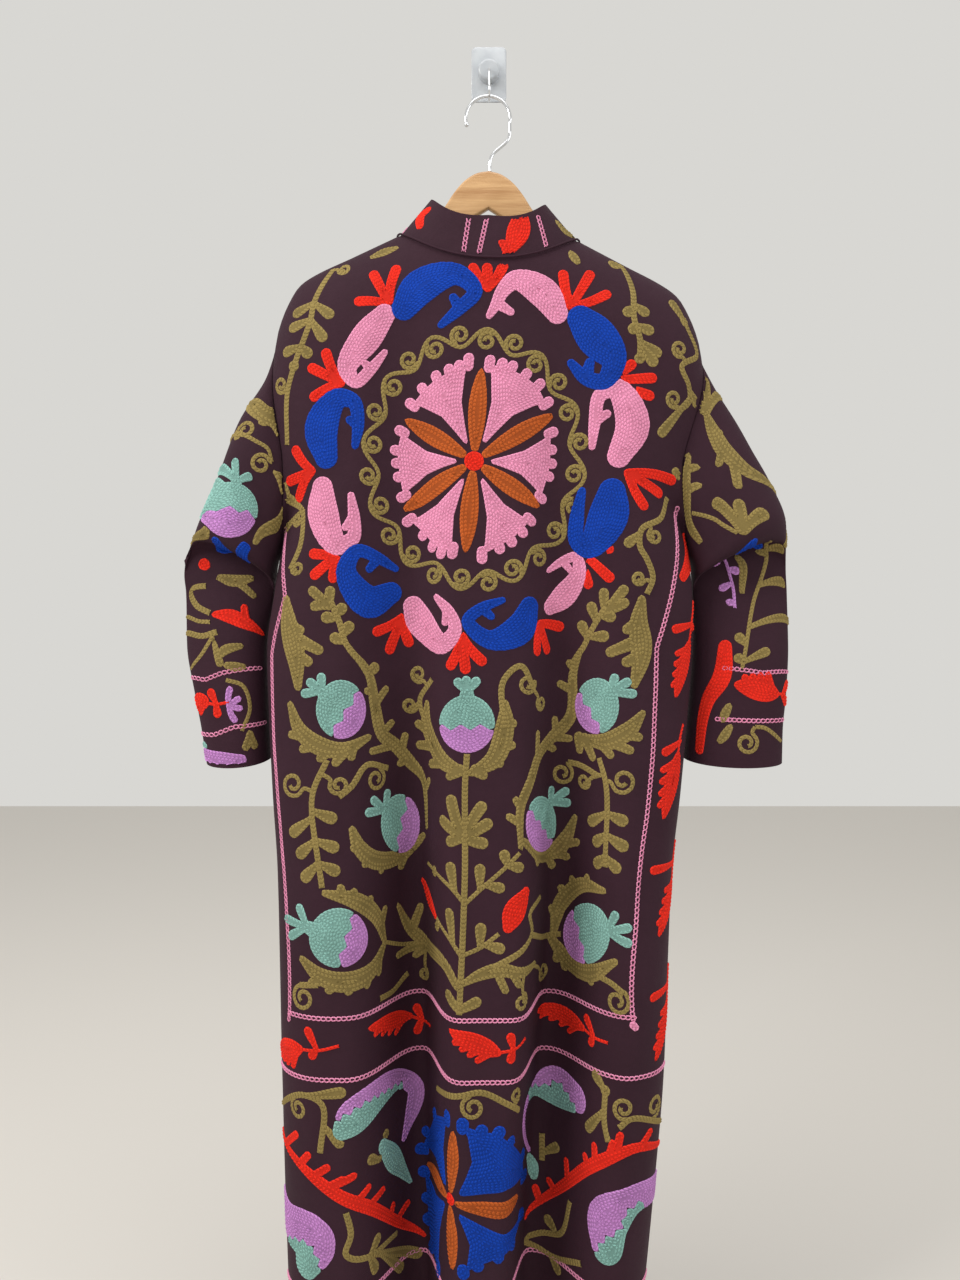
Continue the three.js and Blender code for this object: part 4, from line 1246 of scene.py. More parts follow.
class Work:
    """Draws motifs on one sheet. seen says where on it a pixel's place lies."""

    def __init__(self, threads, seen):
        self.threads = threads
        self.seen = seen

    def lay(self, *groups):
        """A Spot in the middle of some groups of pixels, and their places in its mm."""
        flats = [np.array([self.seen(px, py) for px, py in group]).reshape(-1, 2) for group in groups]
        spot = Spot(self.threads.sheet, np.concatenate(flats).mean(0))
        return [spot] + [spot.here(flat) for flat in flats]

    def draw(self, motif, rows):
        for row in rows:
            motif(self, row)

    def paisley(self, row):
        """A round head that narrows to a curled tail, with a hook beside it."""
        spot, spine, hook = self.lay(row.spine, row.hook)
        belly = row.belly * PX
        shape = [chain(spine, belly * np.array(PAISLEY_RADII))]
        shape += [club(spine[4], end, 0.36 * belly, 0.24 * belly) for end in hook]
        self.threads.fill(spot, row.colour, *shape)

    def sprig(self, row):
        """Fingers that spread from one base."""
        spot, base, tips = self.lay(row.base, row.tips)
        half = row.half * PX
        middle = (len(tips) - 1) / 2
        self.threads.fill(spot, row.colour, *[
            club(base[0], tip, FINGER_ROOT * half, half, 0.05 * (k - middle)) for k, tip in enumerate(tips)
        ])

    def flower(self, row):
        """Spindles from a dot, with lobed fans between them."""
        fans = [places(text) for text in row.fans]
        spot, middle, spindles, *fans = self.lay(row.middle, row.spindles, *fans)
        centre = middle[0]
        lobe = row.lobe * PX
        self.threads.fill(spot, "red", np.array([[*centre, row.dot * PX], [*centre + 0.1, row.dot * PX]]))
        for tip in spindles:
            share = np.linspace(0, 1, 9)[:, None]
            late, full = SPINDLE_POWERS
            radius = row.half * PX * np.sin(math.pi * share ** late) ** full + SPINDLE_END
            self.threads.fill(spot, "rust", np.concatenate([centre + share * (tip - centre), radius], 1))
        for tips in fans:
            axis = tips.mean(0) - centre
            root = centre + FAN_ROOT * axis
            first, last = [
                [mix(root, mix(end, root + axis, pull), share) for share, pull in FAN_WAIST]
                for end in tips[[0, -1]]
            ]
            pulled = [mix(tip, root, FAN_INSET) for tip in tips]
            body = np.array([root, *first, *pulled, *last[::-1]])
            lobes = [club(mix(root, tip, LOBE_START), tip, 0.95 * lobe, lobe) for tip in tips]
            self.threads.fill(spot, row.colour, body, *lobes)

    def pomegranate(self, row):
        """A round fruit under a crown of leaves, mint above a zigzag and lilac below it."""
        x0, y0, x1, y1 = row.box
        turn = np.linspace(0, 2 * math.pi, FRUIT_POINTS + 1)[:-1]
        rim = [
            ((x0 + x1) / 2 + (x1 - x0) / 2 * math.cos(angle), (y0 + y1) / 2 + (y1 - y0) / 2 * math.sin(angle))
            for angle in turn
        ]
        spot, body, neck, crown, split = self.lay(rim, row.neck, row.crown, row.split)
        a, b = split[0], split[1]
        ahead = b - a
        side = left_of(ahead) / np.linalg.norm(ahead)
        toward = np.sign(side @ (body.mean(0) - neck[0])) * side
        edge = [a + share * ahead + toward * ZIGZAG * (k % 2) for k, share in enumerate(FRUIT_TEETH)]
        for colour, far in (("lilac", toward * FAR), ("mint", toward * -FAR)):
            self.threads.fill(spot, colour, body, inside=np.array(edge + [edge[-1] + far, edge[0] + far]))
        root, end = (part * PX for part in CROWN_LEAF)
        leaves = [club(neck[0], tip, root, end) for tip in crown]
        narrow, wide = (part * PX for part in CROWN_NECK)
        stalk = np.array([[*neck[0], narrow], [*mix(neck[0], body.mean(0), CROWN_DEPTH), wide]])
        self.threads.fill(spot, "mint", stalk, *leaves, lift=CROWN_LIFT)

    def branch(self, row):
        """A stem with leaves towards some tips and spirals about some places."""
        spot, stem, tips, middles = self.lay(row.stem, row.tips, [(x, y) for x, y, _ in row.spirals])
        path = curve(stem)
        self.threads.line(spot, row.colour, path, row.rows)
        half = row.half * PX
        for tip in tips:
            self.threads.fill(spot, row.colour, club(leaning_root(path, tip), tip, LEAF_ROOT * half, half))
        for centre, (_, _, radius) in zip(middles, row.spirals):
            start = path[nearest(path, centre)]
            hand = 1 if start[0] > centre[0] else -1
            lead = coil(centre, radius * PX, start, hand)
            self.threads.line(spot, row.colour, curve(np.concatenate([[start], lead[::2]]), 3))

    def acanthus(self, row):
        """A curved leaf, widest in its middle, with blunt lobes along one side."""
        spot, spine, lobes = self.lay(row.spine, row.lobes)
        half = row.half * PX
        body = taper(spine, half)
        shape = [body]
        for tip in lobes:
            shape.append(club(leaning_root(body, tip), tip, 0.6 * half, max(0.45 * half, LOBE_TIP * PX)))
        self.threads.fill(spot, row.colour, *shape)

    def blade(self, row):
        """A leaf of its own, from one place through others, widest at the one named."""
        spot, spine, side_leaves = self.lay(row.spine, row.side_leaves)
        half = row.half * PX
        away = np.abs(np.arange(len(spine)) - row.widest)
        body = chain(spine, half * np.maximum(BLADE_END, 1 - away * row.narrowing))
        leaf_half = BLADE_SIDE_LEAF * half
        leaves = [leaf_shape(body[nearest(body, tip), :2], tip, leaf_half) for tip in side_leaves]
        self.threads.fill(spot, row.colour, body, *leaves)

    def wing(self, row):
        """A red wing with feathers along one side, and a thin stem with its leaves."""
        spot, tip, neck, end, leaves = self.lay(row.tip, row.neck, row.end, row.leaves)
        tip, neck, end = tip[0], neck[0], end[0]
        half = row.half * PX
        ahead = tip - neck
        side = row.side * left_of(ahead) / np.linalg.norm(ahead)
        body = chain(mix(neck, tip, WING_STEPS), half * np.array(WING_RADII))
        feathers = []
        for share in FEATHER_STEPS:
            root = mix(neck, tip, 0.1 + 0.75 * share)
            point = mix(neck, tip, 0.32 + 0.8 * share) + side * half * (1.4 - 0.95 * share)
            feathers.append(club(root, point, 0.34 * half, 0.26 * half))
        self.threads.fill(spot, "red", body, *feathers)
        self.threads.line(spot, "red", curve(np.array([neck, mix(neck, end, 0.5) + side * 2, end])))
        fork = mix(neck, end, 0.45)
        narrow, wide = (part * PX for part in WING_LEAF)
        self.threads.fill(spot, "red", *[club(fork, leaf, narrow, wide) for leaf in leaves])

    def pair(self, row):
        """A lilac paisley with mint on the inner side of a zigzag."""
        spot, spine, split, rest = self.lay(row.spine, row.split, row.rest)
        body = chain(spine, row.belly * PX * np.array(row.radii))
        self.threads.fill(spot, "mint", body, inside=np.concatenate([zigzag(split), rest]))
        self.threads.fill(spot, "lilac", body)

    def loops(self, row):
        """Open chain loops along each straight stretch of a line."""
        spot, line = self.lay(row.line)
        for a, b in zip(line[:-1], line[1:]):
            self.threads.loops(spot, "pink", np.array([a, b]))


# ---- where the motifs lie, in the photograph's pixels ----

FLOWERS = records(
    "flower",
    ("pink", "474,461", 9.5, "482,366 556,413 541,509 465,555 401,512 403,418", 8.4, 5.2, (
        "469,353 459,360 448,364 434,371 419,384 406,400", "491,355 504,358 515,361 530,369 544,380 553,399",
        "395,428 390,449 391,463 393,478 397,500", "558,430 557,449 557,464 554,478 546,502",
        "403,525 420,540 430,552 439,559 451,559", "535,525 526,537 514,547 501,554 482,564",
    )),
    ("blue", "450,1199", 5.7, "453,1129 425,1163 518,1194 452,1272", 7.5, 6.0, (
        "463,1118 484,1125 503,1127 514,1136 524,1150 526,1172", "415,1149 422,1129 434,1107 447,1110",
        "523,1212 514,1244 503,1261 480,1272 464,1280", "418,1172 422,1200 424,1222 430,1250 438,1276",
    )),
)

VINE_MIDDLE = (474, 459)  # pixels
VINE_REACH = (104, 122)  # pixels to the side and up
VINE_WAVES = 12
VINE_WAVE = 0.075  # of its reach
VINE_CURL_OFF = 0.1  # how far a curl's middle lies in the hollow of its wave, of its reach
VINE_STEPS = 96
VINE_CURL = 9.5

PAISLEYS = records(
    "paisley",
    ("blue", 18, "404,308 421,286 456,274 475,291 460,308 441,325", "451,294"),
    ("pink", 16, "557,313 543,292 516,280 502,292 497,303 489,316", "514,314"),
    ("blue", 20, "581,319 597,337 614,360 604,381 586,378 571,363", "591,358"),
    ("pink", 17, "619,456 633,424 617,389 600,395 595,420 592,447", "611,412"),
    ("blue", 20, "612,492 608,516 590,546 577,540 577,517 582,491", ""),
    ("pink", 12, "550,607 564,596 579,572 576,557 563,561 548,571", "573,574"),
    ("blue", 15, "530,607 521,628 490,640 468,621 482,608 503,600", "494,619"),
    ("pink", 16, "414,607 422,623 442,644 455,630 448,611 436,597", "444,626"),
    ("blue", 16, "391,593 369,602 346,572 357,551 378,558 396,569", "367,572"),
    ("pink", 16.5, "322,488 322,512 337,545 353,538 354,518 351,495", "343,530"),
    ("blue", 17, "326,457 321,428 337,399 354,402 358,424 355,446", "346,418"),
    ("pink", 15, "385,314 366,338 347,368 356,382 371,369 385,352", "362,361"),
)

SPRIGS = records(
    "sprig",
    ("red", 5.2, "389,304", "397,265 372,271 354,301"), ("red", 5.2, "341,383", "324,349 308,366 310,399"),
    ("red", 5.2, "488,288", "470,264 487,263 506,262"), ("red", 5.2, "571,307", "562,270 592,271 611,293"),
    ("red", 5.2, "616,380", "635,361 657,378 654,398"), ("red", 5.2, "628,473", "676,481 662,496 646,510"),
    ("red", 5.2, "583,553", "614,548 613,581 589,589"), ("red", 5.2, "540,624", "564,627 548,654 537,656"),
    ("red", 5.2, "462,636", "449,670 466,674 485,665"), ("red", 5.2, "403,617", "373,634 388,654 410,647"),
    ("red", 5.2, "340,553", "309,554 311,578 332,583"), ("red", 5.2, "312,471", "293,447 286,483 298,502"),
    ("olive", 5, "330,606", "330,586 309,588 310,606"), ("olive", 5, "606,611", "603,588 627,586 629,601"),
    ("olive", 5.6, "465,838", "449,795 440,817 446,842"),
    ("olive", 5.6, "465,838", "484,802 492,821 488,845"),
    ("olive", 5, "459,1010", "446,990 481,1000"),
)

BRANCHES = records(
    "branch",
    ("olive", 5.6, 2, "333,270 315,300 310,322 305,336 294,366 287,395 287,445",
     "293,316 333,317 289,330 325,341 283,354 290,366 311,357", ((344, 269, 7), (281, 385, 9))),
    ("olive", 5.6, 2, "621,266 633,292 634,317 640,339 640,358",
     "609,264 624,315 649,315 630,333 654,332 639,359 656,366 661,356", ()),
    ("olive", 5.1, 2, "687,327 697,355 682,366 689,386 689,402 676,412", "670,300 682,317 659,436 700,408",
     ((680, 349, 9), (674, 399, 9))),
    ("olive", 5.6, 2, "699,541 686,508 683,479 686,440", "699,468 699,486 672,470", ()),
    ("olive", 5.1, 2, "667,498 661,518 642,529 640,546 647,559 653,578 647,594", "625,546",
     ((655, 536, 8), (639, 578, 7))),
    ("olive", 5.1, 2, "303,510 303,523 300,546 290,569", "282,495 270,536", ((297, 520, 7), (297, 568, 7))),
    ("olive", 5.6, 2, "368,675 358,659 345,642 340,624 330,600", "345,604 321,617 352,622 330,636 378,664",
    ()),
    ("olive", 5.6, 2, "573,680 574,662 584,646 591,631 606,606", "590,602 616,617 580,621 609,636", ()),
    ("olive", 5.4, 2, "427,730 420,700 432,679", "", ((419, 674, 9), (410, 705, 8))),
    ("olive", 5.4, 2, "505,728 503,682 521,666 534,690", "", ((528, 684, 10), (541, 703, 8))),
    ("olive", 5.9, 2, "327,760 312,797 317,854 322,888", "290,835 337,820 297,857 339,849 302,881 340,873",
     ((293, 784, 13), (339, 785, 10))),
    ("olive", 5.9, 2, "599,758 606,786 605,867", "588,823 628,823 593,844 628,849 594,866 620,872",
     ((623, 781, 13), (584, 781, 8))),
    ("olive", 5.1, 2, "339,797 352,786 367,765 388,768", "", ((376, 779, 12),)),
    ("olive", 5.1, 2, "598,776 580,765 568,762", "", ((562, 773, 12),)),
    ("olive", 6.4, 2, "467,754 465,786 465,867 464,903 462,954 459,1015", "", ()),
    ("olive", 5.6, 1, "464,903 448,885 428,863", "449,862 435,875", ()),
    ("olive", 5.2, 1, "464,905 480,890 503,870 520,853", "480,864 503,850 524,868 505,889", ()),
    ("olive", 5.2, 1, "461,956 448,937 437,918", "448,908 436,928", ()),
    ("olive", 5.4, 1, "462,956 480,948 499,934", "481,923 505,950", ()),
    ("olive", 5.6, 1, "428,945 405,944 385,942", "", ((425, 973, 7),)),
    ("olive", 5.6, 1, "500,970 534,965", "", ((522, 1002, 9), (542, 971, 10))),
    ("olive", 5.1, 2, "493,968 522,951 532,931 530,914 540,897", "", ()),
    ("olive", 5.1, 2, "532,935 545,936 561,934", "", ()),
    ("olive", 5.1, 2, "380,999 394,990 408,973", "", ()),
    ("olive", 5.1, 2, "597,975 612,984 624,994", "", ((617, 1002, 13),)),
    ("olive", 5.1, 2, "318,985 300,985", "", ((303, 998, 13),)),
    ("olive", 5.4, 2, "278,1103 303,1095 322,1105 320,1153", "346,1092 343,1147", ((298, 1108, 11),)),
    ("olive", 5.1, 2, "437,1088 462,1096 482,1093 505,1103 519,1110", "", ((473, 1108, 12), (516, 1096, 8))),
    ("olive", 5.4, 2, "605,1091 604,1122 608,1142", "586,1130 593,1070 607,1087", ()),
    ("olive", 5.1, 2, "619,1128 632,1119 664,1119", "", ((624, 1109, 11), (655, 1106, 12))),
    ("olive", 5.1, 2, "380,1160 380,1139", "368,1159 388,1129", ()),
    ("olive", 5.1, 2, "542,1160 542,1133", "559,1146", ()),
    ("olive", 5.6, 2, "346,1213 351,1235 346,1255 366,1258 397,1233", "380,1233 377,1272 403,1269 422,1255",
    ()),
    ("olive", 5.6, 2, "570,1201 561,1233 539,1233 525,1241 550,1255 581,1264", "545,1215 560,1275", ()),
)

POMEGRANATES = records(
    "pomegranate",
    ((439, 695, 495, 753), "467,692", "455,679 466,676 479,678", "439,724 495,724"),
    ((316, 680, 366, 739), "322,691", "301,694 307,680 321,673", "356,690 326,737"),
    ((575, 678, 619, 734), "610,692", "616,674 631,680 637,694", "580,690 606,734"),
    ((381, 794, 420, 853), "385,810", "365,813 371,798 388,789", "406,794 394,853"),
    ((526, 796, 556, 852), "550,803", "551,786 569,789 571,803", "530,808 552,836"),
    ((309, 908, 368, 968), "307,927", "285,917 298,904 289,937", "351,914 334,968"),
    ((563, 903, 610, 964), "607,931", "617,912 632,927 632,945", "573,904 588,962"),
)

ACANTHUS = records(
    "acanthus",
    ("olive", 9.8, "465,773 440,758 427,726 427,703", "415,722 416,745 429,764 446,778"),
    ("olive", 9.8, "471,773 495,758 505,726 505,703", "517,722 516,745 504,764 487,778"),
    ("olive", 9.1, "369,737 341,750 317,745 299,729 290,704", "288,734 299,750 317,761 333,766 351,761"),
    ("olive", 9.1, "579,737 605,742 628,731 643,713", "643,738 634,752 613,758 594,761 580,754"),
    ("olive", 8.5, "385,942 377,917 354,900 324,893", "340,884 354,888 371,895 386,905"),
    ("olive", 9.8, "384,945 374,968 349,982 320,976 302,959", "308,984 326,993 346,995 366,989 379,976"),
    ("olive", 8.5, "553,934 561,903 581,885 604,891", "549,905 560,884 572,875 588,874"),
    ("olive", 9.8, "550,937 567,959 590,973 615,962", "555,962 565,971 578,978 593,985"),
    ("olive", 9.1, "424,835 400,856 375,860 360,848 352,829", "350,848 362,866 380,874 400,870"),
    ("olive", 9.1, "521,840 538,854 555,850 566,838 575,817", "580,842 570,858 554,868 538,866"),
    ("olive", 6.8, "427,828 424,781 411,763 395,745 382,734 375,705 369,674 348,648",
     "377,664 388,686 364,690 394,720 369,752 406,732 397,765 430,778"),
    ("olive", 6.8, "521,849 521,807 531,781 539,755 552,737 571,716 573,674 581,650",
     "567,660 557,682 586,690 554,716 573,739 538,730 556,750 514,797 506,815"),
    ("olive", 11.1, "286,599 288,622 293,644 296,661 298,687", "304,632 323,652 312,664"),
    ("olive", 11.1, "642,599 639,622 641,644 641,659 634,685", "623,632 606,654 622,664"),
    ("olive", 7.5, "459,990 445,965 428,945 412,930 398,905", "422,903 396,957 413,957"),
    ("olive", 6.5, "461,985 480,975 500,970 520,973 535,962", "507,994 521,988"),
)

BLADES = records(
    "blade",
    ("red", 6.5, 1, 0.6, "423,880 430,900 436,917", ""), ("red", 11, 1, 0.55, "526,892 515,912 508,928", ""),
    ("red", 10, 1, 0.5, "687,536 688,554 683,577", ""), ("pink", 3.6, 0, 0.1, "633,1025 636,1028", ""),
    ("olive", 6, 1, 0.5, "372,257 384,252 396,248", ""), ("olive", 5, 1, 0.5, "571,252 574,257 578,263", ""),
    ("olive", 5, 1, 0.4, "279,480 284,488 288,497", ""),
    ("mint", 12, 1, 0.42, "383,1146 393,1158 402,1170 411,1182", ""),
    ("mint", 6, 1, 0.4, "528,1156 532,1166 534,1176", ""),
)

WINGS = records(
    "wing",
    (13, -1, "262,1047", "300,1049", "339,1046", "306,1027 310,1059"),
    (11, -1, "367,1029", "410,1016", "431,1027", "415,1004 416,1034"),
    (12, -1, "449,1029", "498,1053", "525,1038", "510,1033 510,1064"),
    (11, -1, "537,1012", "583,1028", "608,1043", "585,1014 590,1046"),
    (11, 1, "675,699", "689,643", "695,601", "672,630 702,632"),
    (13, 1, "663,820", "678,755", "683,724", "662,754"),
    (12, 1, "658,938", "674,880", "676,839", "650,871 681,866"),
    (12, 1, "655,1062", "668,998", "669,965", "650,999 675,988"),
    *[(12, -1, f"{x},{y}", f"{x + 48},{y + 14}", f"{x + 74},{y + 6}", f"{x + 58},{y - 8} {x + 60},{y + 25}")
      for x, y in ((282, 1316), (370, 1310), (458, 1316), (546, 1308), (616, 1314))],
)

COCKSCOMBS = records(
    "acanthus",
    ("red", 6.4, "276,1129 300,1164 334,1193 368,1207 403,1224 425,1235",
     "298,1133 310,1153 330,1166 346,1178 357,1174 371,1184 385,1187 394,1201 410,1200"),
    ("red", 6.4, "525,1218 561,1187 595,1164 632,1149 665,1142",
     "534,1184 547,1177 566,1157 584,1152 594,1142 614,1140 621,1132 652,1128"),
)

TWO_TONE = records(
    "pair",
    (18, (0.45, 1.0, 0.88, 0.56, 0.52, 0.5, 0.2),
    "341,1132 357,1115 381,1092 400,1079 415,1087 413,1106 404,1138",
     "334,1122 350,1113 365,1103 385,1092 402,1082", "404,1094 392,1115 370,1150 330,1150"),
    (20, (0.12, 0.2, 0.2, 0.5, 1.0, 0.75), "529,1150 523,1125 525,1108 537,1086 556,1086 576,1098",
     "528,1090 548,1086 556,1080 566,1092 580,1116", "570,1135 528,1114"),
    (24, (0.4, 0.85, 1.0, 0.6), "268,1195 290,1222 312,1240 306,1264",
     "262,1200 289,1222 300,1240 311,1246 322,1272", "300,1295 255,1290"),
    (22, (0.6, 0.7, 1.0, 0.75), "662,1184 634,1200 607,1222 606,1248",
     "643,1200 626,1212 622,1228 604,1240 592,1258", "612,1285 655,1260"),
)

BORDERS = records(
    "loops",
    ("282,518 285,596 272,654 280,820 289,1021",),
    ("678,507 657,647 645,830 634,1027",),
)
LEVEL_BORDERS = records(
    "level_border",
    (1110.0, "289,1021", "636,1027"),
    (1177.0, "262,1078", "672,1090"),
    (1415.0, "262,1280", "672,1280"),
)

SLEEVE_LEFT = motif_set(
    pomegranate=[
        ((202, 482, 258, 538), "237,482", "235,458 252,476 220,470", "202,516 258,516"),
    ],
    blade=[
        ("blue", 9, 1, 0.4, "216,541 231,548 246,546", ""), ("red", 6, 0, 0.1, "204,564 205,565", ""),
        ("lilac", 10, 1, 0.35, "201,757 222,762 240,761", ""), ("mint", 5, 0, 0.1, "204,746 205,747", ""),
        ("olive", 7, 1, 0.4, "283,508 275,526 257,539", ""),
        ("olive", 6, 1, 0.4, "211,519 204,534 193,547", ""),
        ("olive", 4.5, 1, 0.4, "278,473 282,482 284,493", ""),
        ("olive", 5, 1, 0.4, "217,658 225,650 241,646", ""),
        ("olive", 5, 1, 0.4, "226,665 235,667 244,667", ""),
    ],
    wing=[
        (11, -1, "180,702", "206,703", "229,702", "209,689 218,718"),
    ],
    sprig=[
        ("lilac", 3.2, "229,706", "230,686 241,697 243,709 236,723"),
        ("olive", 4, "250,733", "245,751 256,749"),
    ],
    acanthus=[
        ("olive", 9.5, "284,436 276,420 262,412 250,402", "259,424"),
        ("red", 7.5, "263,634 246,623 230,616 214,614", "244,604"),
        ("olive", 6, "217,577 236,581 254,578", "256,598"),
    ],
    branch=[
        ("olive", 4.2, 1, "231,442 254,440 268,449 272,462", "", ((245, 430, 10), (261, 464, 11))),
        ("olive", 4.0, 2, "206,586 191,591 197,606 215,616", "", ()),
        ("olive", 4.0, 1, "186,618 198,621 210,622", "", ()),
        ("olive", 4.0, 2, "186,634 201,636 217,632", "", ()),
        ("olive", 4.0, 1, "213,636 201,655 191,669", "221,667", ()),
        ("olive", 4.0, 1, "226,680 243,686 250,708 242,731", "", ()),
    ],
    loops=[
        ("185,676 191,677 205,680 222,673 262,668",), ("195,730 201,732 214,735 234,727 266,722",),
    ],
)
SLEEVE_RIGHT = motif_set(
    wing=[
        (14, -1, "734,684", "776,694", "791,697", "787,681 788,707"),
    ],
    blade=[
        ("blue", 7, 1, 0.3, "742,545 749,545 758,546", ""),
        ("olive", 6, 1, 0.4, "776,500 782,520 785,546", ""),
        ("red", 9, 1, 0.25, "725,647 722,676 707,702 699,750", "712,684"),
        ("olive", 4, 1, 0.4, "736,556 743,566 742,593", ""),
        ("olive", 4.5, 1, 0.3, "729,706 725,714 723,720", ""),
        ("olive", 4.5, 1, 0.3, "730,727 725,735 720,741", ""),
    ],
    acanthus=[
        ("olive", 8.5, "706,413 714,432 726,452 748,471 774,490", "723,434 718,467 738,489"),
        ("olive", 7.5, "700,542 688,520 686,492 688,455", "700,466 702,484"),
    ],
    sprig=[
        ("olive", 5, "706,412", "690,403 704,376 722,395"),
        ("olive", 6, "744,531", "713,500 737,499 766,510"),
    ],
    branch=[
        ("olive", 5.0, 1, "742,669 747,641 753,604 763,573 772,540",
         "754,548 784,549 785,584 787,622 770,650 736,634 735,655", ()),
        ("olive", 4.0, 1, "781,741 765,728 755,727", "", ((747, 743, 12),)),
        ("lilac", 4.0, 1, "720,562 732,583 735,608", "719,590 726,603 740,572", ()),
        ("olive", 4.0, 1, "692,513 716,520 738,533", "", ()),
    ],
    loops=[
        ("722,668 735,669 763,673 788,672",), ("716,719 732,720 761,721 788,722",),
    ],
)
COLLAR = motif_set(
    loops=[
        ("403,228 398,243",), ("469,217 463,258",), ("487,217 478,260",), ("538,216 548,255",),
    ],
    blade=[
        ("red", 12, 1, 0.35, "521,217 519,231 513,244 506,254", "499,241 504,248"),
        ("red", 5, 0, 0.1, "427,253 428,252", ""), ("red", 6, 1, 0.3, "420,226 421,216 428,210", ""),
        ("olive", 5, 1, 0.4, "557,222 566,232 574,240", ""),
        ("olive", 4, 1, 0.4, "386,250 392,246 398,240", ""),
    ],
)


# ---- laying the embroidery on each sheet ----


def vine_places():
    """A wavy ring, and the middle of a curl in each hollow of its waves."""
    turn = np.linspace(0, 2 * math.pi, VINE_STEPS + 1)
    bend = np.linspace(0, 2 * math.pi, 2 * VINE_WAVES, endpoint=False) + math.pi / (2 * VINE_WAVES)
    rings = []
    for angle, inset in ((turn, 0.0), (bend, VINE_CURL_OFF)):
        wave = np.sin(VINE_WAVES * angle)
        reach = (1 + wave * (VINE_WAVE - inset))[:, None] * VINE_REACH
        rings.append(VINE_MIDDLE + reach * np.stack([np.cos(angle), np.sin(angle)], -1))
    return rings


def embroider_body(work, back, moved):
    """The back's whole design, on it or on a front. moved turns a flat place on the back into the sheet's."""
    work.draw(Work.loops, BORDERS)
    for row in LEVEL_BORDERS:
        low, high = (back.seen(*place[0])[0] for place in (row.from_px, row.to_px))
        flats = np.array([moved(s, row.t) for s in np.linspace(low, high, 16)])
        spot = Spot(work.threads.sheet, flats.mean(0))
        work.threads.loops(spot, "pink", spot.here(flats))
    for motif, rows in (
        (Work.flower, FLOWERS),
        (Work.paisley, PAISLEYS),
        (Work.pomegranate, POMEGRANATES),
        (Work.pair, TWO_TONE),
        (Work.blade, BLADES),
        (Work.wing, WINGS),
        (Work.acanthus, COCKSCOMBS),
        (Work.sprig, SPRIGS),
        (Work.acanthus, ACANTHUS),
        (Work.branch, BRANCHES),
    ):
        work.draw(motif, rows)
    spot, ring, curls = work.lay(*vine_places())
    path = curve(ring, 2)
    work.threads.line(spot, "olive", path)
    for k, middle in enumerate(curls):
        start = path[nearest(path, middle)]
        lead = coil(middle, VINE_CURL * PX, start, 1 if k % 2 else -1)
        work.threads.line(spot, "olive", curve(np.concatenate([[start], lead[::2]]), 3))


def embroider_set(work, motifs):
    """Motifs listed by the name of their function in Work."""
    for name, rows in motifs.items():
        work.draw(getattr(Work, name), rows)


def embroidery(materials):
    """All the stitches: the shown ones, and the same kind on the sides that the photograph hides."""
    made = {}
    back = back_sheet()
    threads = Threads(back, "back_stitch")
    embroider_body(Work(threads, back.seen), back, lambda s, t: (s, t))
    made["back"] = threads.make(materials)
    for side, word in ((-1, "left"), (1, "right")):
        front = front_sheet(side)
        threads = Threads(front, "front_" + word + "_stitch")
        front_places = FrontPlaces(back, front, side)
        embroider_body(Work(threads, front_places.seen), back, front_places.moved)
        made["front_" + word] = threads.make(materials)
    for side, word, motifs in ((-1, "left", SLEEVE_LEFT), (1, "right", SLEEVE_RIGHT)):
        sleeve = sleeve_sheet(side)
        threads = Threads(sleeve, "sleeve_" + word + "_stitch")
        embroider_set(Work(threads, sleeve.seen), motifs)
        embroider_set(Work(threads, sleeve.seen_behind), motifs)
        made["sleeve_" + word] = threads.make(materials)
    collar = collar_sheet()
    threads = Threads(collar, "collar_stitch")
    embroider_set(Work(threads, collar.seen), COLLAR)
    made["collar"] = threads.make(materials)
    return made


# ---- the hanger and the wall hook, in mm ----

HANGER_OUTLINE = table(
    "out z",
    (0, -139), (14, -142), (28, -151), (41, -166), (52, -183), (64, -198), (80, -211), (107, -226.2),
    (125, -234.3), (160, -251.4), (203, -273), (211, -279), (214, -288), (209, -297), (198, -299),
    (110, -254),
)
HANGER_TIP_ROW = 13  # of the outline, where its upper side ends
HANGER_APEX_Z = -184.0
HANGER_THICKNESS = 9.0
HANGER_EDGE = 3.4  # radius of its rounded edges
HANGER_EDGE_STEPS = 6
HOOK_RADIUS = 2.0
HOOK_LOOP = (-1.5, -75.5, 26.5)  # middle x and z, and radius
HOOK_LOOP_TURN = (-12, 197, 16)  # degrees: first, end and step
HOOK_STEM = ((0.8, -138.7), (1.1, -126), (4, -118.5), (23, -99.5))
HOOK_BALL = 2.9
PLATE_SIZE = (43.0, 68.0, 2.5)
PLATE_CORNER = 6.0
PLATE_EDGE = 1.0
BOSS_RADIUS = 13.0
BOSS_DEPTH = 13.0
BOSS_EDGE = 2.5
J_RADIUS = 1.5
J_BEND = (-40.5, -43.5, 9.5)  # middle y and z, and radius
J_BEND_TURN = (190, 373, 14)  # degrees: first, end and step
HOOK_SEAT = 0.5  # between the boss and the middle of the J hook's end


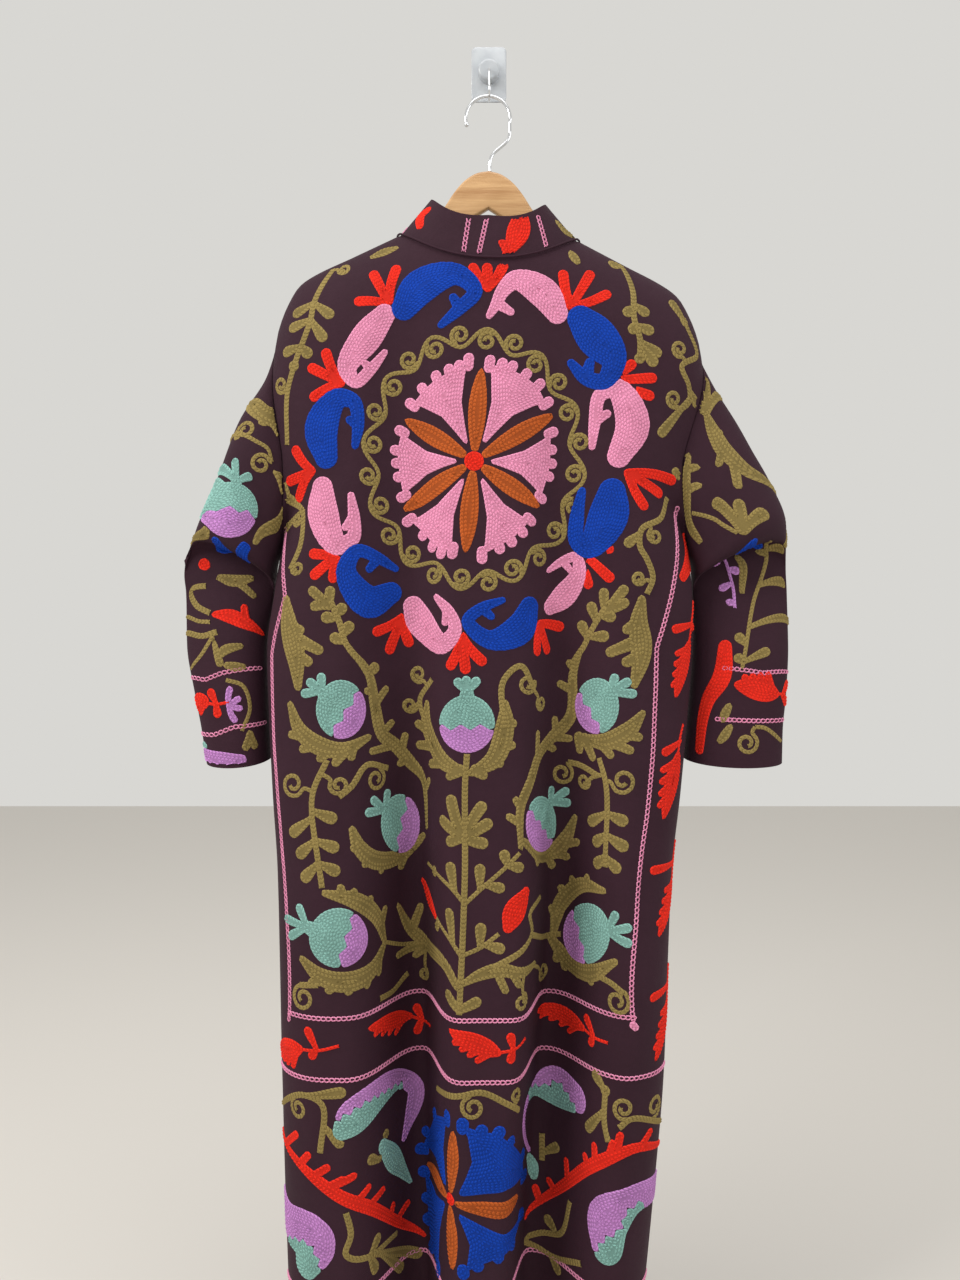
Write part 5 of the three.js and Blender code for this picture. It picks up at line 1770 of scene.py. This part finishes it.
def rounded_plate(outline, thickness, edge, steps):
    """A flat plate in x and z with rounded edges, centred on y = 0, as points and faces."""
    outline = np.asarray(outline, float)
    count = len(outline)
    ahead = np.roll(outline, -1, 0) - np.roll(outline, 1, 0)
    square = unit(np.stack([ahead[:, 1], -ahead[:, 0]], -1))
    area = np.sum(outline[:, 0] * np.roll(outline[:, 1], -1) - np.roll(outline[:, 0], -1) * outline[:, 1])
    square *= np.sign(area)
    rings = []
    for front in (-1, 1):
        turns = np.linspace(0, math.pi / 2, steps + 1)
        for turn in (turns[::-1] if front < 0 else turns):
            inset = edge * (1 - math.cos(turn))
            y = front * (thickness / 2 - edge * (1 - math.sin(turn)))
            spots = outline - square * inset
            rings.append(np.stack([spots[:, 0], np.full(count, y), spots[:, 1]], -1))
    points = np.concatenate(rings)
    faces = grid_faces(len(rings), count, True)
    if area > 0:
        faces = faces[:, ::-1]
    front = list(range(count))
    back = list(range((len(rings) - 1) * count, len(rings) * count))
    caps = [front[::-1], back] if area < 0 else [front, back[::-1]]
    return points, faces.tolist() + caps


def hanger_shape():
    right = np.stack([HANGER_OUTLINE["out"], HANGER_OUTLINE["z"]], -1)
    upper = smooth_curve(right[:HANGER_TIP_ROW + 1], 4)[:-1]
    under = smooth_curve(np.concatenate([right[HANGER_TIP_ROW:], [[0, HANGER_APEX_Z]]]), 8)
    half = np.concatenate([upper, under])
    left = half[1:-1][::-1] * [-1, 1]
    outline = np.concatenate([half, left])
    outline = np.stack([outline[:, 0] + NECK_CENTRE, outline[:, 1] + TILT * outline[:, 0]], -1)
    points, faces = rounded_plate(outline, HANGER_THICKNESS, HANGER_EDGE, HANGER_EDGE_STEPS)
    points[:, 1] += HANGER_Y
    return points, faces


def ball_at(centre, radius, rings=12, sides=20):
    """A small sphere as points and faces."""
    turns = np.linspace(0, math.pi, rings + 1)[1:-1]
    round_ = np.linspace(0, 2 * math.pi, sides, endpoint=False)
    points = []
    for turn in turns:
        level = np.sin(turn) * np.stack([np.cos(round_), np.sin(round_)])
        ring = np.stack([*level, np.full(sides, np.cos(turn))], -1)
        points.append(centre + radius * ring)
    points = np.concatenate(points + [[centre + [0, 0, radius]], [centre - [0, 0, radius]]])
    faces = grid_faces(rings - 1, sides, True)[:, ::-1].tolist()
    top = len(points) - 2
    last = (rings - 2) * sides
    for i in range(sides):
        j = (i + 1) % sides
        faces.append([top, i, j])
        faces.append([top + 1, last + j, last + i])
    return points, faces


def joined(*shapes):
    """Several shapes as one mesh."""
    points, faces, count = [], [], 0
    for some_points, some_faces in shapes:
        points.append(some_points)
        some_faces = some_faces if isinstance(some_faces, list) else some_faces.tolist()
        faces += [[i + count for i in face] for face in some_faces]
        count += len(some_points)
    return np.concatenate(points), faces


def hook_shape():
    x, z, radius = HOOK_LOOP
    path = [(px, HANGER_Y, pz) for px, pz in HOOK_STEM]
    for angle in range(*HOOK_LOOP_TURN):
        turn = math.radians(angle)
        path.append((x + radius * math.cos(turn), HANGER_Y, z + radius * math.sin(turn)))
    wire = smooth_curve(path, 10)
    return joined(tube(wire, HOOK_RADIUS, 20), ball_at(wire[-1], HOOK_BALL))


def wall_plate_shape():
    wide, tall, thick = PLATE_SIZE
    turn = np.linspace(0, math.pi / 2, 9)
    corner = PLATE_CORNER * np.stack([np.cos(turn), np.sin(turn)], -1)
    outline = []
    for quarter in range(4):
        c, s = round(math.cos(quarter * math.pi / 2)), round(math.sin(quarter * math.pi / 2))
        middle = np.array([(wide / 2 - PLATE_CORNER) * (c - s), (tall / 2 - PLATE_CORNER) * (c + s)])
        outline.append(middle + corner @ np.array([[c, s], [-s, c]]))
    plate_points, plate_faces = rounded_plate(np.concatenate(outline), thick, PLATE_EDGE, 4)
    plate_points[:, 1] -= thick / 2
    round_ = np.linspace(0, 2 * math.pi, 48, endpoint=False)
    circle = BOSS_RADIUS * np.stack([np.cos(round_), np.sin(round_)], -1)
    boss_points, boss_faces = rounded_plate(circle, BOSS_DEPTH, BOSS_EDGE, 5)
    boss_points[:, 1] -= (thick + BOSS_DEPTH) / 2
    return joined((plate_points, plate_faces), (boss_points, boss_faces))


def wall_hook_shape():
    root = -PLATE_SIZE[2] / 2 - BOSS_DEPTH - HOOK_SEAT
    path = [(0, root, -2), (0, root - 3, -2.6), (0, root - 6, -7), (0, -27, -22)]  # out of the boss, and down
    y, z, radius = J_BEND
    for angle in range(*J_BEND_TURN):
        turn = math.radians(angle)
        path.append((0, y - radius * math.cos(turn), z + radius * math.sin(turn)))
    return tube(smooth_curve(path, 8), J_RADIUS, 16)


PIPING_RADIUS = 1.2
PIPING_SEAT = 2.2


def piping_shape():
    seam, inward = neck_seam()
    return tube(smooth_curve(seam - inward * PIPING_SEAT, 2), PIPING_RADIUS, 12)


# ---- materials ----

WEAVE_PITCH = 1.3  # mm
CLOTH_COLOUR = (0.035, 0.013, 0.0215)
CLOTH_SHADES = (0.86, 1.16)  # of its colour, where the dye is dark and where it is light
THREAD_SHADE_AND_HIGHLIGHT = (0.34, 1.4)  # of a thread's colour: painted shade between its stitches and a painted highlight on them
THREADS = {
    "blue": (0.003, 0.045, 0.36),
    "pink": (0.90, 0.27, 0.43),
    "red": (0.86, 0.022, 0.009),
    "olive": (0.235, 0.172, 0.055),
    "rust": (0.42, 0.085, 0.014),
    "mint": (0.21, 0.40, 0.355),
    "lilac": (0.47, 0.205, 0.50),
}


class Nodes:
    """A short way to build a material's nodes."""

    def __init__(self, name):
        self.material = bpy.data.materials.new(name)
        self.material.use_nodes = True
        self.tree = self.material.node_tree
        self.shader = self.tree.nodes["Principled BSDF"]

    def node(self, kind, settings=None, **inputs):
        made = self.tree.nodes.new(kind)
        for key, value in (settings or {}).items():
            setattr(made, key, value)
        for key, value in inputs.items():
            self.put(made, key.replace("_", " "), value)
        return made

    def put(self, node, key, value):
        socket = node.inputs[int(key)] if key.isdigit() else node.inputs[key]
        if isinstance(value, bpy.types.NodeSocket):
            self.tree.links.new(value, socket)
        else:
            socket.default_value = value

    def maths(self, operation, a, b=0.0, clamp=False):
        made = self.node("ShaderNodeMath", {"operation": operation, "use_clamp": clamp})
        self.put(made, "0", a)
        self.put(made, "1", b)
        return made.outputs[0]

    def place(self):
        """Where a point lies in its object, in metres."""
        return self.node("ShaderNodeTexCoord").outputs["Object"]

    def flat(self):
        """The UV map that make_object writes."""
        return self.node("ShaderNodeUVMap", {"uv_map": "flat"}).outputs["UV"]

    def stretched(self, vector, scale):
        made = self.node("ShaderNodeMapping", {"vector_type": "POINT"}, Vector=vector, Scale=scale)
        return made.outputs["Vector"]

    def weighed(self, *parts):
        """The sum of some values, each times its share."""
        total = None
        for value, share in parts:
            term = self.maths("MULTIPLY", value, share)
            total = term if total is None else self.maths("ADD", total, term)
        return total

    def noise(self, vector, scale, detail=3.0, roughness=0.5):
        made = self.node("ShaderNodeTexNoise", Vector=vector, Scale=scale, Detail=detail, Roughness=roughness)
        return made.outputs["Fac"]

    def spread(self, value, low, high, to_low, to_high):
        made = self.node("ShaderNodeMapRange", {"clamp": True})
        keys = ("Value", "From Min", "From Max", "To Min", "To Max")
        for key, number in zip(keys, (value, low, high, to_low, to_high)):
            self.put(made, key, number)
        return made.outputs["Result"]

    def tint(self, share, first, second):
        made = self.node("ShaderNodeMix", {"data_type": "RGBA"})
        self.tree.links.new(share, made.inputs["Factor"])
        made.inputs["A"].default_value = (*first, 1)
        made.inputs["B"].default_value = (*second, 1)
        return made.outputs["Result"]

    def colour(self, value, low, high, dark, light):
        """The base colour, from dark where a value is low to light where it is high."""
        share = self.spread(value, low, high, 0.0, 1.0)
        self.tree.links.new(self.tint(share, dark, light), self.shader.inputs["Base Color"])

    def bump(self, height, distance, strength=1.0):
        made = self.node("ShaderNodeBump", Height=height, Distance=distance, Strength=strength)
        self.tree.links.new(made.outputs["Normal"], self.shader.inputs["Normal"])

    def plain(self, **inputs):
        for key, value in inputs.items():
            self.shader.inputs[key.replace("_", " ")].default_value = value


def shade(colour, times):
    return tuple(min(1.0, part * times) for part in colour)


def cloth_material():
    """Plum plain-weave cotton: threads both ways, slubs, and a broad unevenness of dye."""
    made = Nodes("plum_cotton")
    flat = made.flat()
    place = made.place()
    parts = made.node("ShaderNodeSeparateXYZ", Vector=flat)
    weave = []
    for axis in ("X", "Y"):
        turn = made.maths("MULTIPLY", parts.outputs[axis], 2 * math.pi / WEAVE_PITCH)
        weave.append(made.maths("SINE", turn))
    threads = made.maths("MULTIPLY", weave[0], weave[1])
    slubs = made.noise(made.stretched(flat, (0.05, 1.3, 1)), 1.0, 2.0)
    dye = made.noise(place, 9.0, 4.0)
    fine_dye = made.noise(place, 160.0, 3.0)
    shift = made.weighed((dye, 0.55), (slubs, 0.25), (fine_dye, 0.2))
    made.colour(shift, 0.3, 0.7, *[shade(CLOTH_COLOUR, times) for times in CLOTH_SHADES])
    pucker = made.noise(place, 55.0, 3.0)
    made.bump(made.weighed((threads, 0.12), (slubs, 0.3), (pucker, 1.6)), 0.0009, 0.7)
    made.plain(Roughness=0.72, Specular_IOR_Level=0.12, Sheen_Weight=0.02, Sheen_Roughness=0.5)
    made.plain(Sheen_Tint=(0.8, 0.66, 0.74, 1))
    return made.material


def thread_material(name, colour):
    """Rows of chain stitch: each stitch a pair of strands that meet in a V, with painted shade between
    stitches and a painted highlight on their crests.
    """
    made = Nodes("thread_" + name)
    parts = made.node("ShaderNodeSeparateXYZ", Vector=made.flat())
    off = made.maths("ABSOLUTE", parts.outputs["X"])
    along = made.maths("ADD", parts.outputs["Y"], made.maths("MULTIPLY", off, 0.6))
    step = made.maths("FRACT", along)
    crown = made.maths("MULTIPLY", made.maths("MULTIPLY", step, made.maths("SUBTRACT", 1.0, step)), 4.0)
    groove = made.spread(off, 0.0, 0.3, 0.0, 1.0)
    place = made.place()
    fibre = made.noise(place, 900.0, 2.0)
    uneven = made.noise(place, 45.0, 2.0)
    made.bump(made.weighed((crown, 0.6), (groove, 0.25), (fibre, 0.3)), 0.0012, 0.8)
    # painted light: lighter on each stitch's crest and darker between stitches, mixed with random fibre tone
    light = made.weighed((made.spread(crown, 0.0, 0.55, 0.0, 1.0), 0.5), (fibre, 0.3), (uneven, 0.35))
    made.colour(light, 0.15, 0.95, *[shade(colour, times) for times in THREAD_SHADE_AND_HIGHLIGHT])
    made.plain(Roughness=0.85, Specular_IOR_Level=0.2)
    return made.material


def wood_material():
    """Light varnished wood: grain along the bar, drawn out rings and small pores."""
    made = Nodes("light_wood")
    place = made.place()
    rings = made.noise(made.stretched(place, (6.0, 60.0, 90.0)), 1.0, 5.0, 0.6)
    pores = made.noise(made.stretched(place, (40.0, 400.0, 700.0)), 1.0, 2.0)
    grain = made.weighed((rings, 0.75), (pores, 0.25))
    made.colour(grain, 0.35, 0.65, (0.42, 0.21, 0.075), (0.66, 0.4, 0.18))
    made.bump(pores, 0.0004, 0.4)
    made.plain(Roughness=0.38, Coat_Weight=0.35, Coat_Roughness=0.25)
    return made.material


def chrome_material():
    """Polished wire with a slight haze."""
    made = Nodes("chrome")
    haze = made.noise(made.place(), 300.0, 2.0)
    made.tree.links.new(made.spread(haze, 0.3, 0.7, 0.06, 0.16), made.shader.inputs["Roughness"])
    made.plain(Base_Color=(0.75, 0.76, 0.78, 1), Metallic=1.0)
    return made.material


def plate_material():
    """Clear greyish plastic, a little cloudy."""
    made = Nodes("clear_plastic")
    cloud = made.noise(made.place(), 60.0, 2.0)
    made.colour(cloud, 0.3, 0.7, (0.56, 0.59, 0.63), (0.68, 0.71, 0.74))
    made.plain(Roughness=0.16, Transmission_Weight=0.35, IOR=1.49, Coat_Weight=0.3, Coat_Roughness=0.08)
    return made.material


# ---- the scene ----

WORLD_COLOUR = (0.74, 0.73, 0.70)
WORLD_STRENGTH = 0.93
FLOOR_COLOUR = (0.68, 0.65, 0.61)
FLOOR_Z = -1.62  # metres
FLOOR_REACH = 4.0
LIGHTS = (
    # name, place and target in metres, side, watts, colour
    ("key", (-2.0, -1.2, 0.7), (0, 0, -0.75), 1.2, 44.0, (1.0, 0.985, 0.96)),
    ("fill", (2.1, -1.1, 0.3), (0, 0, -0.8), 1.4, 18.0, (0.97, 0.985, 1.0)),
    ("top", (0, -0.7, 1.3), (0, 0, -0.5), 1.2, 12.0, (1, 1, 1)),
)


def cloth_piece(name, node, panel, is_tube, sign, material):
    """A piece of cloth in place of its node, which stays for collision, hidden."""
    outer, inward, flat = panel
    points, faces = shell(outer, inward, is_tube, sign)
    made = make_object(name, points, faces, material, flat=np.tile(flat.reshape(-1, 2), (2, 1)))
    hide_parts(node)
    return made


def hard_piece(name, node, shape, material):
    """A finer piece in place of a node of the hanger, the hooks or the piping."""
    points, faces = shape
    made = make_object(name, points, faces, material, sharp=HARD_SHARP)
    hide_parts(node)


def area_light(name, place, target, size, power, colour):
    light = bpy.data.lights.new(name, "AREA")
    light.shape = "RECTANGLE"
    light.size = light.size_y = size
    light.energy = power
    light.color = colour
    made = bpy.data.objects.new(name, light)
    made.location = place
    ahead = np.array(target) - np.array(place)
    made.rotation_euler = mathutils.Vector(ahead).to_track_quat("-Z", "Y").to_euler()
    bpy.context.scene.collection.objects.link(made)


def camera():
    made = bpy.data.objects.new("camera", bpy.data.cameras.new("camera"))
    made.data.lens = CAMERA_LENS
    made.data.sensor_width = CAMERA_SENSOR
    made.data.sensor_fit = "AUTO"
    made.location = [part * MM for part in CAMERA_AT]
    made.rotation_euler = (math.pi / 2, 0, 0)
    made.data.clip_start = 0.02
    bpy.context.scene.collection.objects.link(made)
    bpy.context.scene.camera = made


def world():
    made = bpy.data.worlds.new("studio")
    made.use_nodes = True
    background = made.node_tree.nodes["Background"]
    background.inputs["Color"].default_value = (*WORLD_COLOUR, 1)
    background.inputs["Strength"].default_value = WORLD_STRENGTH
    bpy.context.scene.world = made
    bpy.context.scene.view_settings.view_transform = "Standard"


def floor():
    mesh = bpy.data.meshes.new("floor")
    corners = [(x * FLOOR_REACH, y * FLOOR_REACH, FLOOR_Z) for x, y in ((-1, -1), (1, -1), (1, 1), (-1, 1))]
    mesh.from_pydata(corners, [], [(0, 1, 2, 3)])
    made = bpy.data.objects.new("floor", mesh)
    bpy.context.scene.collection.objects.link(made)
    material = Nodes("pale_floor")
    material.plain(Base_Color=(*FLOOR_COLOUR, 1), Roughness=0.8)
    mesh.materials.append(material.material)


camera()
world()
floor()
for light in LIGHTS:
    area_light(*light)

cotton = cloth_material()
back_cloth = cloth_piece("robe_back", "back", back_panel(), False, 1, cotton)
fronts = {
    side: cloth_piece("robe_front_" + word, "front_" + word, front_panel(side), False, side, cotton)
    for side, word in ((-1, "left"), (1, "right"))
}
sleeves = {
    side: cloth_piece("robe_sleeve_" + word, "sleeve_" + word, sleeve_tube(side), True, -side, cotton)
    for side, word in ((-1, "left"), (1, "right"))
}
collar = cloth_piece("robe_collar", "collar", collar_panel(), False, 1, cotton)
hard_piece("robe_neck_piping", "neck_piping", piping_shape(), cotton)
hard_piece("wooden_hanger", "hanger_bar", hanger_shape(), wood_material())
hard_piece("hanger_hook_wire", "hanger_hook", hook_shape(), chrome_material())
hard_piece("plate_and_boss", "wall_plate", wall_plate_shape(), plate_material())
hard_piece("wall_hook_wire", "wall_hook", wall_hook_shape(), bpy.data.materials["chrome"])

stitches = embroidery({name: thread_material(name, colour) for name, colour in THREADS.items()})
